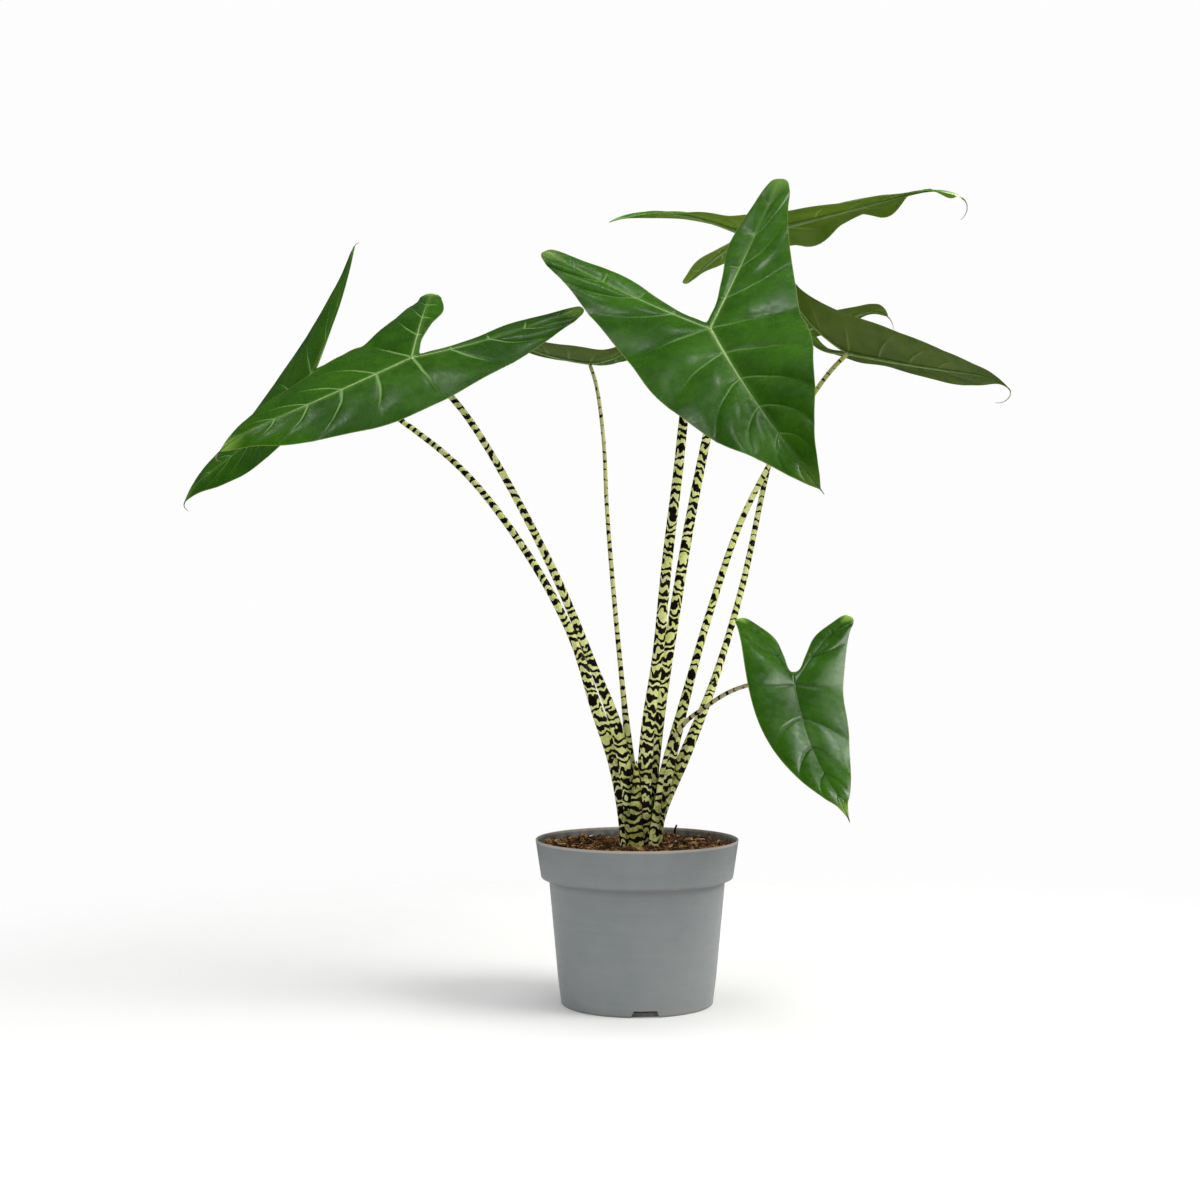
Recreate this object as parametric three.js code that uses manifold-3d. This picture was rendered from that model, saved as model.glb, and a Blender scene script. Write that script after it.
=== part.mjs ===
// A potted zebrina alocasia: a grey plastic grower pot filled with peat and coir, a short corm in
// the soil, eight zebra-marked petioles that rise from it, their eight arrowhead blades and the
// pointed sheath leaf at the front of the clump.
// Millimetres, +Z up, the origin at the middle of the pot's underside, the front towards -Y.
import * as THREE from 'three';
import { mergeVertices } from 'three/addons/utils/BufferGeometryUtils.js';
import Module from 'manifold-3d';

const wasm = await Module();
wasm.setup();

// Clearance left between two grown or placed pieces that touch
const CLEARANCE = 0.3;

// The pot: a 17 cm grower pot with a deep collar and a thin wall
const POT = {
  rimRadius: 85, // outside, at the top of the collar
  height: 137,
  wall: 1.4,
  collarRadius: 80.5, // outside, at the foot of the collar
  collarFoot: 107, // height of the collar's lower edge
  neckRadius: 73.7, // outside of the body just under the collar
  neckHeight: 104,
  neckRound: 1, // how far the step from body to collar is rounded
  heelRadius: 66.2, // outside of the body near the foot
  heelHeight: 22,
  footRadius: 62.8,
  footRound: 1.2,
  footRing: 5.8, // width of the ring that the pot stands on
  recess: 1.5, // the underside's lift between ring and centre pad
  floor: 3.5, // height of the floor's inner face
  padRadius: 20,
  segments: 48,
};

// Drain notches through the heel, one of them nearly in front
const NOTCH = { count: 3, width: 24.5, topWidth: 19, height: 5.5, below: 1, reach: 16, firstAngle: -85 };

const SOIL = { top: 130, crown: 131.5, bottom: POT.floor + CLEARANCE };

// The corm: the short thick stem under the soil that carries every petiole
const CORM = {
  x: 4,
  y: -3,
  top: 105,
  shoulder: 96,
  bottom: 68,
  radius: 25,
  footRadius: 13,
  segments: 24,
};

// The sheath leaf at the front of the clump, a pointed curved tongue
const SHEATH = {
  x: -1,
  y: -17, // its back at the foot
  lean: 2.5, // how far its tip stands forward of its foot
  bottom: CORM.top + CLEARANCE,
  top: 204,
  halfWidth: 6.4,
  bow: 2.2,
  thickness: 1.2,
  rows: 8,
  columns: [-1, -0.5, 0, 0.5, 1], // shares of the half width
};

const BLADE_THICKNESS = 0.8;
// Where the rows of a blade lie, how many points they have, and the fine steps that a rib is bent in
const RIB_STEPS = 48;
const MIDRIB_ROWS = 12;
const LOBE_ROWS = 8;
const ROW_POINTS = 3;
// Angles in degrees between the midrib and a row that runs out from it, at its foot and at its tip
const ROW_ANGLE = { foot: 80, tip: 42 };
// How a lobe's rows turn: the outer ones close on the rib's direction at a rate, the inner ones
// stand square to the rib from a share of its length and lean to its tip past another
const LOBE_FAN = { rate: 0.9, squareAt: 0.3, leanFrom: 0.5, lean: 0.6 };
// The last share of the midrib's length, along which it curls
const CURL_SHARE = 0.3;
// The drip tip's thread, which curls this many times as much as the midrib's end
const THREAD = { radius: 0.6, rows: 3, curl: 2 };

// The outline's half width beside the midrib, outside and inside a lobe's rib, as shares of the
// blade's half width, at shares of the rib's length
const MIDRIB_PROFILE = [[0, 1], [0.2, 0.95], [0.4, 0.8], [0.6, 0.6], [0.8, 0.32], [0.92, 0.14], [1, 0]];
const LOBE_PROFILE = [[0, 1], [0.2, 0.85], [0.4, 0.7], [0.6, 0.55], [0.8, 0.42], [0.93, 0.26], [1, 0]];
const SINUS_PROFILE = [[0, 0.13], [0.15, 0.08], [0.35, 0.14], [0.6, 0.27], [0.85, 0.23], [1, 0]];

const PETIOLE_SIDES = 8;
const PETIOLE_STEPS = 14;
// Share of a petiole's length along which its sheathing base narrows
const SHEATH_SHARE = 0.3;

// The eight leaves, named by where they are seen from the front. Lengths in mm, angles in degrees.
// A blade starts where its petiole meets it, heads along yaw and pitch, and rolls about its midrib.
// Each rib droops (down), swings (outwards, the midrib to its left) and twists (outer side up) along
// its length; the midrib also curls down near its tip. A lobe splays from the midrib's line and
// folds up along its rib; closing folds the halves further towards the tip.
// A petiole's route starts on the corm and its radii are those of its foot, its middle and its top.
const LEAVES = {
  left_front: {
    at: [-183, -59, 532], yaw: 211, pitch: -26, roll: -38, halfWidth: 59, closing: -6, thread: 14,
    midrib: { length: 180, droop: 0, curl: 32, swing: -3, twist: -10 },
    left: { length: 146, splay: 20, droop: -17, swing: 6, twist: 1, fold: -1 },
    right: { length: 146, splay: 46, droop: 30, swing: 2, twist: 10, fold: -17 },
    route: [[-4.5, -8, 105], [-5.5, -9, 150], [-11.5, -11.5, 200], [-21, -14, 240], [-38, -21, 285],
      [-70, -34, 362], [-121, -49, 458], [-148, -55, 497]],
    radii: [4.5, 3.9, 2.6],
  },
  left_back: {
    at: [-288, 105, 538], yaw: 131, pitch: -33, roll: -68, halfWidth: 54, closing: -12, thread: 12,
    midrib: { length: 211, droop: -23, curl: 35, swing: 4, twist: 1 },
    left: { length: 133, splay: 28, droop: 15, swing: 0, twist: 0, fold: 4 },
    right: { length: 119, splay: 37, droop: -9, swing: 0, twist: -12, fold: 4 },
    route: [[-9, 0.5, 105], [-10.5, 1.5, 150], [-19.5, 3, 200], [-34, 3, 243], [-55, 10, 307],
      [-92, 20, 375], [-146, 36, 445], [-203, 60, 492], [-247, 84, 520]],
    radii: [4.5, 3.6, 2.2],
  },
  center: {
    at: [55, -105, 549], yaw: -75, pitch: -35, roll: 19, halfWidth: 71, closing: 18, thread: 5,
    midrib: { length: 207, droop: 14, curl: 34, swing: 10, twist: 22 },
    left: { length: 186, splay: 31, droop: -22, swing: 9, twist: -7, fold: 1 },
    right: { length: 173, splay: 31, droop: -21, swing: 13, twist: 8, fold: -1 },
    route: [[5.5, -10.5, 105], [6, -12, 150], [9, -20, 229], [17, -34, 296], [23, -52, 364],
      [31, -68, 434], [40, -84, 507]],
    radii: [4.5, 4.8, 3.6],
  },
  top: {
    at: [97, 66, 655], yaw: -33, pitch: 6, roll: -28, halfWidth: 47, closing: 12, thread: 20,
    midrib: { length: 208, droop: 0, curl: 47, swing: -3, twist: 34 },
    left: { length: 100, splay: 22, droop: 0, swing: 12, twist: 28, fold: 17 },
    right: { length: 161, splay: 57, droop: 55, swing: 22, twist: 3, fold: -19 },
    route: [[7, 2.5, 105], [9.5, 2.5, 150], [19, 4, 244], [31, 10, 320], [45, 20, 402], [62, 33, 484],
      [84, 46, 575]],
    radii: [4.3, 4.8, 3.2],
  },
  right: {
    at: [185, 62, 552], yaw: -36, pitch: -15, roll: -29, halfWidth: 49, closing: -22, thread: 22,
    midrib: { length: 160, droop: -5, curl: 39, swing: -3, twist: -3 },
    left: { length: 102, splay: 25, droop: -46, swing: 0, twist: 0, fold: 23 },
    right: { length: 105, splay: 36, droop: -48, swing: 1, twist: -20, fold: 12 },
    route: [[14.5, -4.5, 105], [18, -4, 150], [43, 6, 261], [64, 21, 332], [93, 38, 411],
      [133, 51, 483], [168, 60, 534]],
    radii: [4, 3.5, 2],
  },
  rear: {
    at: [156, 188, 589], yaw: 28, pitch: 12, roll: -14, halfWidth: 38, closing: 2, thread: 14,
    midrib: { length: 106, droop: -11, curl: 70, swing: 1, twist: -4 },
    left: { length: 62, splay: 27, droop: -5, swing: -1, twist: 0, fold: -2 },
    right: { length: 78, splay: 26, droop: -9, swing: -2, twist: 0, fold: 2 },
    route: [[15, 6.5, 105], [18.5, 7.5, 150], [43, 16, 208], [67, 38, 267], [94, 76, 350],
      [119, 122, 450], [144, 166, 534]],
    radii: [4.1, 3.1, 2],
  },
  small_center: {
    at: [-40, 44, 541], yaw: 209, pitch: 1, roll: 8, halfWidth: 35, closing: -1, thread: 8,
    midrib: { length: 91, droop: -9, curl: 21, swing: 0, twist: 1 },
    left: { length: 52, splay: 26, droop: -53, swing: -1, twist: 1, fold: 15 },
    right: { length: 75, splay: 27, droop: -30, swing: 0, twist: 4, fold: 10 },
    route: [[-2, 5, 105], [-2.5, 6, 150], [-11, 10, 252], [-18, 20, 326], [-25, 31, 413], [-28, 38, 474],
      [-34, 42, 520]],
    radii: [3.6, 2.2, 1.6],
  },
  small_right: {
    at: [126, -57, 269], yaw: -84, pitch: -51, roll: -2, halfWidth: 39, closing: -3, thread: 5,
    midrib: { length: 157, droop: -32, curl: 37, swing: 11, twist: 12 },
    left: { length: 92, splay: 32, droop: -2, swing: 13, twist: 8, fold: 16 },
    right: { length: 83, splay: 19, droop: 18, swing: 8, twist: 8, fold: 15 },
    route: [[13, -14.5, 105], [16.5, -16, 160], [25, -20, 211], [39, -23, 235], [55, -29, 248],
      [74, -38, 261], [93, -47, 268], [111, -53, 269]],
    radii: [3.2, 2, 1.7],
  },
};

const COLOURS = {
  pot: 0x81878a,
  soil: 0x4a2c1c,
  corm: 0x7a5b3a,
  petiole: 0xb9c46e,
  sheath: 0xb6b85f,
  blade: 0x2a5212,
};

const VERTICAL = new THREE.Vector3(0, 0, 1);
const radians = THREE.MathUtils.degToRad;

function material(color, roughness) {
  return new THREE.MeshStandardMaterial({ color, roughness, metalness: 0 });
}

// Smooth value at x through [x, y] points, with no overshoot between them
function profileAt(points, x) {
  const slopes = points.slice(1).map(([px, py], i) => (py - points[i][1]) / (px - points[i][0]));
  const tangent = (i) => {
    if (i === 0) return slopes[0];
    if (i === slopes.length) return slopes[i - 1];
    const [before, after] = [slopes[i - 1], slopes[i]];
    return before * after <= 0 ? 0 : (2 * before * after) / (before + after);
  };
  const found = points.findIndex(([px]) => px > x);
  const i = found < 0 ? points.length - 2 : Math.max(found - 1, 0);
  const width = points[i + 1][0] - points[i][0];
  const t = (x - points[i][0]) / width;
  const rise = (3 - 2 * t) * t * t;
  return points[i][1] * (1 - rise) + points[i + 1][1] * rise
    + width * (tangent(i) * t * (1 - t) ** 2 - tangent(i + 1) * t * t * (1 - t));
}

// Turns vector a towards b, and b away from a, by an angle in radians
function turn(a, b, angle) {
  const [cos, sin] = [Math.cos(angle), Math.sin(angle)];
  const turned = a.clone().multiplyScalar(cos).addScaledVector(b, sin);
  b.multiplyScalar(cos).addScaledVector(a, -sin);
  a.copy(turned);
}

// A step's share of the curl, which grows along the last part of the midrib
function curlWeight(step) {
  return Math.max(0, ((step + 0.5) / RIB_STEPS - 1 + CURL_SHARE) / CURL_SHARE);
}

// Frames along a rib: point, direction, outward side and upper normal
function bendRib(start, { length, droop, swing, twist, curl = 0 }) {
  const curlTotal = [...Array(RIB_STEPS).keys()].reduce((sum, step) => sum + curlWeight(step), 0);
  const frames = [start];
  for (let step = 0; step < RIB_STEPS; step += 1) {
    const last = frames[step];
    const [point, along, side, up] = [last.point, last.along, last.side, last.up].map((v) => v.clone());
    turn(along, up, -radians(droop / RIB_STEPS + (curl * curlWeight(step)) / curlTotal));
    turn(along, side, radians(swing / RIB_STEPS));
    turn(side, up, radians(twist / RIB_STEPS));
    point.addScaledVector(along, length / RIB_STEPS);
    frames.push({ point, along, side, up });
  }
  return frames;
}

// The frame where the petiole meets the blade; its side is the blade's left
function bladeFrame({ at, yaw, pitch, roll }) {
  const [y, p] = [radians(yaw), radians(pitch)];
  const along = new THREE.Vector3(Math.cos(y) * Math.cos(p), Math.sin(y) * Math.cos(p), Math.sin(p));
  const level = new THREE.Vector3(-Math.cos(y) * Math.sin(p), -Math.sin(y) * Math.sin(p), Math.cos(p));
  const up = level.applyAxisAngle(along, radians(roll));
  return { point: new THREE.Vector3(...at), along, side: up.clone().cross(along), up };
}

// The frame at the foot of a lobe's rib, with its side towards the lobe's outer margin
function lobeFrame(frame, splay, hand) {
  const angle = Math.PI - radians(splay);
  const outward = frame.side.clone().multiplyScalar(hand);
  const [cos, sin] = [Math.cos(angle), Math.sin(angle)];
  const along = frame.along.clone().multiplyScalar(cos).addScaledVector(outward, sin);
  const side = frame.along.clone().multiplyScalar(sin).addScaledVector(outward, -cos);
  return { point: frame.point, along, side, up: frame.up };
}

// A point on a row that leaves a rib's frame at an angle from its direction, folded up by lift
function rowPoint(frame, hand, angle, lift, distance) {
  const flat = frame.along.clone().multiplyScalar(Math.cos(angle))
    .addScaledVector(frame.side, Math.sin(angle) * hand);
  const direction = flat.multiplyScalar(Math.cos(lift)).addScaledVector(frame.up, Math.sin(lift));
  return frame.point.clone().addScaledVector(direction, distance);
}

// The blade's middle surface as vertices and triangles, its upper face outwards
function bladeSheet(leaf) {
  const vertices = [];
  const triangles = [];
  const add = (point) => vertices.push(point) - 1;

  // Fills the strip between two rows of vertices, from their first to their last
  const bridge = (a, b, flip) => {
    let [i, j] = [0, 0];
    while (i < a.length - 1 || j < b.length - 1) {
      const behind = (i + 1) * (b.length - 1) <= (j + 1) * (a.length - 1);
      const alongA = j === b.length - 1 || (i < a.length - 1 && behind);
      const corners = alongA ? [a[i], a[i + 1], b[j]] : [a[i], b[j + 1], b[j]];
      triangles.push(flip ? corners.reverse() : corners);
      if (alongA) i += 1;
      else j += 1;
    }
  };
  const bridgeAll = (rows, flip) => rows.slice(1).forEach((row, i) => bridge(rows[i], row, flip));

  const foot = bladeFrame(leaf);
  const midrib = bendRib(foot, leaf.midrib);
  const isRow = (step) => (step * MIDRIB_ROWS) % RIB_STEPS === 0;
  const midribIndex = midrib.map((frame, step) => (isRow(step) ? add(frame.point) : -1));
  const tip = midrib[RIB_STEPS];
  const threadDroop = leaf.midrib.curl * THREAD.curl;
  const thread = bendRib(tip, { length: leaf.thread, droop: threadDroop, swing: 0, twist: 0 });
  const threadFrames = [...Array(THREAD.rows).keys()]
    .map((i) => thread[((i + 1) * RIB_STEPS) / THREAD.rows]);
  const threadIndex = threadFrames.map((frame) => add(frame.point));
  const sinusIndex = add(rowPoint(foot, 1, Math.PI, 0, SINUS_PROFILE[0][1] * leaf.halfWidth));

  for (const [lobe, hand] of [[leaf.left, 1], [leaf.right, -1]]) {
    const fold = radians(lobe.fold);
    const flip = hand < 0;

    // Rows beside the midrib, then the drip tip's thread
    const front = [];
    for (let row = 0; row < MIDRIB_ROWS; row += 1) {
      const s = row / MIDRIB_ROWS;
      const step = (row * RIB_STEPS) / MIDRIB_ROWS;
      const angle = radians(ROW_ANGLE.foot + (ROW_ANGLE.tip - ROW_ANGLE.foot) * s);
      const width = leaf.halfWidth * profileAt(MIDRIB_PROFILE, s);
      const indices = [midribIndex[step]];
      for (let i = 1; i <= ROW_POINTS; i += 1) {
        const lift = fold + radians(leaf.closing) * s;
        indices.push(add(rowPoint(midrib[step], hand, angle, lift, (width * i) / ROW_POINTS)));
      }
      front.push(indices);
    }
    const edgeOf = (frame, radius) => add(rowPoint(frame, hand, Math.PI / 2, 0, radius));
    front.push([midribIndex[RIB_STEPS], edgeOf(tip, THREAD.radius)]);
    threadFrames.slice(0, -1).forEach((frame, i) => {
      front.push([threadIndex[i], edgeOf(frame, THREAD.radius)]);
    });
    front.push([threadIndex[THREAD.rows - 1]]);
    bridgeAll(front, flip);

    // Rows outside and inside the lobe's rib; the first of each is shared
    const splay = radians(lobe.splay);
    const rib = bendRib(lobeFrame(foot, lobe.splay, hand), lobe);
    const outer = [front[0]];
    const inner = [[midribIndex[0], sinusIndex]];
    for (let row = 1; row <= LOBE_ROWS; row += 1) {
      const s = row / LOBE_ROWS;
      const frame = rib[(row * RIB_STEPS) / LOBE_ROWS];
      const ribIndex = add(frame.point);
      const outerAngle = (Math.PI - splay - radians(ROW_ANGLE.foot)) * (1 - s) ** LOBE_FAN.rate;
      const square = Math.min(1, s / LOBE_FAN.squareAt);
      const lean = LOBE_FAN.lean * Math.max(0, (s - LOBE_FAN.leanFrom) / (1 - LOBE_FAN.leanFrom));
      const innerAngle = -THREE.MathUtils.lerp(splay, Math.PI / 2, square) * (1 - lean);
      const outerWidth = leaf.halfWidth * profileAt(LOBE_PROFILE, s);
      const innerWidth = leaf.halfWidth * profileAt(SINUS_PROFILE, s);
      if (row === LOBE_ROWS) {
        outer.push([ribIndex]);
        inner.push([ribIndex]);
        break;
      }
      const indices = [ribIndex];
      for (let i = 1; i <= ROW_POINTS; i += 1) {
        indices.push(add(rowPoint(frame, 1, outerAngle, fold, (outerWidth * i) / ROW_POINTS)));
      }
      outer.push(indices);
      inner.push([ribIndex, add(rowPoint(frame, 1, innerAngle, 0, innerWidth))]);
    }
    bridgeAll(outer, !flip);
    bridgeAll(inner, flip);
  }
  return { vertices, triangles };
}

// A closed solid from a sheet: its surface moved half the thickness up and down, edges walled
function thicken({ vertices, triangles }, thickness) {
  const sheet = new THREE.BufferGeometry().setFromPoints(vertices);
  sheet.setIndex(triangles.flat());
  sheet.computeVertexNormals();
  const normals = sheet.getAttribute('normal');
  const offset = (sign) => vertices.map((point, i) => point.clone()
    .addScaledVector(new THREE.Vector3().fromBufferAttribute(normals, i), (sign * thickness) / 2));
  const count = vertices.length;
  const edges = new Set(triangles.flatMap(([a, b, c]) => [`${a},${b}`, `${b},${c}`, `${c},${a}`]));
  const walls = [...edges].map((edge) => edge.split(',').map(Number))
    .filter(([a, b]) => !edges.has(`${b},${a}`))
    .flatMap(([a, b]) => [[b, a, a + count], [b, a + count, b + count]]);
  const under = triangles.map(([a, b, c]) => [c + count, b + count, a + count]);
  const solid = new THREE.BufferGeometry().setFromPoints([...offset(1), ...offset(-1)]);
  solid.setIndex([...triangles, ...under, ...walls].flat());
  return solid;
}

// A closed round solid along a curve, its radius a function of the share of its length. The first
// ring is mitred level, and the last to a plane through the curve's end, square to endNormal.
function sweep(curve, radiusAt, endNormal) {
  const { normals, binormals, tangents } = curve.computeFrenetFrames(PETIOLE_STEPS, false);
  const points = [];
  const triangles = [];
  for (let step = 0; step <= PETIOLE_STEPS; step += 1) {
    const u = step / PETIOLE_STEPS;
    const centre = curve.getPointAt(u);
    for (let side = 0; side < PETIOLE_SIDES; side += 1) {
      const angle = (side / PETIOLE_SIDES) * 2 * Math.PI;
      const point = centre.clone()
        .addScaledVector(normals[step], Math.cos(angle) * radiusAt(u))
        .addScaledVector(binormals[step], Math.sin(angle) * radiusAt(u));
      const cutNormal = { 0: VERTICAL, [PETIOLE_STEPS]: endNormal }[step];
      if (cutNormal) {
        const miss = centre.clone().sub(point).dot(cutNormal) / tangents[step].dot(cutNormal);
        point.addScaledVector(tangents[step], miss);
      }
      points.push(point);
      if (step === 0) continue;
      const next = step * PETIOLE_SIDES + ((side + 1) % PETIOLE_SIDES);
      const here = step * PETIOLE_SIDES + side;
      const below = here - PETIOLE_SIDES;
      triangles.push([below, next - PETIOLE_SIDES, next], [below, next, here]);
    }
  }
  const last = PETIOLE_STEPS * PETIOLE_SIDES;
  for (let side = 1; side < PETIOLE_SIDES - 1; side += 1) {
    triangles.push([0, side + 1, side], [last, last + side, last + side + 1]);
  }
  const solid = new THREE.BufferGeometry().setFromPoints(points);
  solid.setIndex(triangles.flat());
  return solid;
}

// A petiole, from the corm to just under its blade; grow makes it fatter and longer at its foot
function petioleSolid(leaf, grow = 0) {
  const [footRadius, middleRadius, topRadius] = leaf.radii;
  const { up } = bladeFrame(leaf);
  const route = leaf.route.map((point) => new THREE.Vector3(...point));
  const at = new THREE.Vector3(...leaf.at);
  // A top face cut aslant, under a blade that folds down, has to stop a little lower
  const slant = at.clone().sub(route.at(-1)).normalize().dot(up);
  const deepestFold = radians(Math.max(0, -leaf.left.fold, -leaf.right.fold));
  const below = BLADE_THICKNESS / 2 + CLEARANCE + (topRadius / slant) * Math.sin(deepestFold);
  const end = at.addScaledVector(up, -below);
  route[0].z += CLEARANCE - grow;
  const curve = new THREE.CatmullRomCurve3([...route, end], false, 'centripetal');
  const radiusAt = (u) => grow + (u < SHEATH_SHARE
    ? THREE.MathUtils.lerp(footRadius, middleRadius, u / SHEATH_SHARE)
    : THREE.MathUtils.lerp(middleRadius, topRadius, (u - SHEATH_SHARE) / (1 - SHEATH_SHARE)));
  return sweep(curve, radiusAt, up);
}

function toManifold(geometry) {
  const merged = geometry.clone();
  merged.deleteAttribute('normal');
  merged.deleteAttribute('uv');
  const shared = mergeVertices(merged);
  const vertProperties = new Float32Array(shared.getAttribute('position').array);
  const triVerts = new Uint32Array(shared.getIndex().array);
  return new wasm.Manifold(new wasm.Mesh({ numProp: 3, vertProperties, triVerts }));
}

function fromManifold(solid) {
  const { vertProperties, triVerts } = solid.getMesh();
  const geometry = new THREE.BufferGeometry();
  geometry.setAttribute('position', new THREE.BufferAttribute(vertProperties, 3));
  geometry.setIndex(new THREE.BufferAttribute(triVerts, 1));
  return geometry;
}

function cut(body, tools) {
  return fromManifold(tools.reduce((solid, tool) => solid.subtract(toManifold(tool)), toManifold(body)));
}

// A turned solid: [radius, height] points from the axis round to the axis
function turned(profile, segments = POT.segments) {
  const points = profile.map(([radius, height]) => new THREE.Vector2(radius, height));
  return new THREE.LatheGeometry(points, segments).rotateX(Math.PI / 2);
}

// The pot's inner radius at a height on its tapering body
function innerRadius(height) {
  const share = (height - POT.heelHeight) / (POT.neckHeight - POT.heelHeight);
  return THREE.MathUtils.lerp(POT.heelRadius, POT.neckRadius, share) - POT.wall;
}

function collarInnerRadius(height) {
  const share = (height - POT.collarFoot) / (POT.height - POT.collarFoot);
  return THREE.MathUtils.lerp(POT.collarRadius, POT.rimRadius, share) - POT.wall;
}

// A drain notch's trapezoid, standing on the ground and reaching in through the heel
function notchTool(angle) {
  const { width, topWidth, height, below } = NOTCH;
  const shape = new THREE.Shape([
    new THREE.Vector2(-width / 2, -below), new THREE.Vector2(width / 2, -below),
    new THREE.Vector2(topWidth / 2, height), new THREE.Vector2(-topWidth / 2, height),
  ]);
  return new THREE.ExtrudeGeometry(shape, { depth: NOTCH.reach, bevelEnabled: false })
    .rotateX(Math.PI / 2)
    .translate(0, POT.heelRadius + NOTCH.reach / 2, 0)
    .rotateZ(angle - Math.PI / 2);
}

function buildPot() {
  const profile = [
    [0, 0], [POT.padRadius, 0], [POT.padRadius, POT.recess],
    [POT.footRadius - POT.footRing, POT.recess], [POT.footRadius - POT.footRing, 0],
    [POT.footRadius, 0], [POT.footRadius + POT.footRound, POT.footRound],
    [POT.heelRadius, POT.heelHeight], [POT.neckRadius, POT.neckHeight],
    [POT.collarRadius - POT.neckRound, POT.neckHeight + POT.neckRound],
    [POT.collarRadius, POT.collarFoot],
    [POT.rimRadius, POT.height], [POT.rimRadius - POT.wall, POT.height],
    [collarInnerRadius(POT.collarFoot + POT.wall), POT.collarFoot + POT.wall],
    [innerRadius(POT.neckHeight) - POT.neckRound, POT.neckHeight + POT.wall],
    [innerRadius(POT.heelHeight), POT.heelHeight],
    [POT.footRadius - POT.footRound, POT.floor], [0, POT.floor],
  ];
  const notches = [...Array(NOTCH.count).keys()]
    .map((i) => notchTool(radians(NOTCH.firstAngle + (i * 360) / NOTCH.count)));
  return cut(turned(profile), notches);
}

function cormSolid(grow = 0) {
  const profile = [
    [0, CORM.bottom - grow], [CORM.footRadius + grow, CORM.bottom - grow],
    [CORM.radius + grow, CORM.shoulder], [CORM.radius + grow, CORM.top + grow], [0, CORM.top + grow],
  ];
  return turned(profile, CORM.segments).translate(CORM.x, CORM.y, 0);
}

// The soil fills the pot to a little under the rim and is clear of what is planted in it
function buildSoil(planted) {
  const edge = (height, radius) => [radius - CLEARANCE, height];
  const profile = [
    [0, SOIL.bottom], edge(SOIL.bottom, POT.footRadius - POT.footRound - NOTCH.reach / 2),
    edge(POT.heelHeight, innerRadius(POT.heelHeight)),
    edge(POT.neckHeight + POT.wall, innerRadius(POT.neckHeight) - 2 * POT.neckRound),
    edge(POT.collarFoot + POT.wall * 2, collarInnerRadius(POT.collarFoot)),
    edge(SOIL.top, collarInnerRadius(SOIL.top)), [0, SOIL.crown],
  ];
  return cut(turned(profile), planted);
}

// The sheath leaf: a bowed tongue that narrows to a point, leaning on the clump's front
function sheathSolid(grow = 0) {
  const { rows, columns } = SHEATH;
  const vertices = [];
  const triangles = [];
  for (let row = 0; row < rows; row += 1) {
    const s = row / rows;
    const halfWidth = (SHEATH.halfWidth + grow) * Math.sqrt(1 - s * s);
    for (const column of columns) {
      const x = SHEATH.x + column * halfWidth;
      const y = SHEATH.y - SHEATH.lean * s - SHEATH.bow * (1 - column * column);
      vertices.push(new THREE.Vector3(x, y, SHEATH.bottom - grow + (SHEATH.top - SHEATH.bottom) * s));
    }
    if (row === 0) continue;
    for (let i = 0; i < columns.length - 1; i += 1) {
      const here = row * columns.length + i;
      triangles.push([here - columns.length, here - columns.length + 1, here + 1]);
      triangles.push([here - columns.length, here + 1, here]);
    }
  }
  const apexY = SHEATH.y - SHEATH.lean - SHEATH.bow / 2;
  const apex = vertices.push(new THREE.Vector3(SHEATH.x, apexY, SHEATH.top)) - 1;
  const lastRow = (rows - 1) * columns.length;
  for (let i = 0; i < columns.length - 1; i += 1) triangles.push([lastRow + i, lastRow + i + 1, apex]);
  return thicken({ vertices, triangles }, SHEATH.thickness + 2 * grow);
}

const plant = new THREE.Group();

function place(name, geometry, color, roughness) {
  const mesh = new THREE.Mesh(geometry, material(color, roughness));
  mesh.name = name;
  plant.add(mesh);
}

const planted = [cormSolid(CLEARANCE), sheathSolid(CLEARANCE)];
for (const leaf of Object.values(LEAVES)) planted.push(petioleSolid(leaf, CLEARANCE));

place('pot', buildPot(), COLOURS.pot, 0.5);
place('soil', buildSoil(planted), COLOURS.soil, 1);
place('corm', cormSolid(), COLOURS.corm, 0.9);
place('sheath_leaf', sheathSolid(), COLOURS.sheath, 0.5);
for (const [name, leaf] of Object.entries(LEAVES)) {
  place(`petiole_${name}`, petioleSolid(leaf), COLOURS.petiole, 0.4);
  place(`blade_${name}`, thicken(bladeSheet(leaf), BLADE_THICKNESS), COLOURS.blade, 0.35);
}

export default plant;
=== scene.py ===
"""The looks of a potted zebrina alocasia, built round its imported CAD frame.

Eight arrowhead leaves on zebra-marked stalks rise from one clump in a grey plastic grower pot.
Sizes are in millimetres and degrees until a mesh is made; +Z is up and the front is towards -Y.
"""
import logging
import math
import random
from collections.abc import Callable, Sequence
from dataclasses import dataclass, field
from enum import Enum, IntEnum
from functools import partial, reduce
from typing import TypeAlias

import bmesh
import bpy
import numpy as np
from bpy.types import ID, Material, Mesh, NodeInputs, NodeSocket, NodeTree, Object
from mathutils import Matrix, Vector, noise


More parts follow.
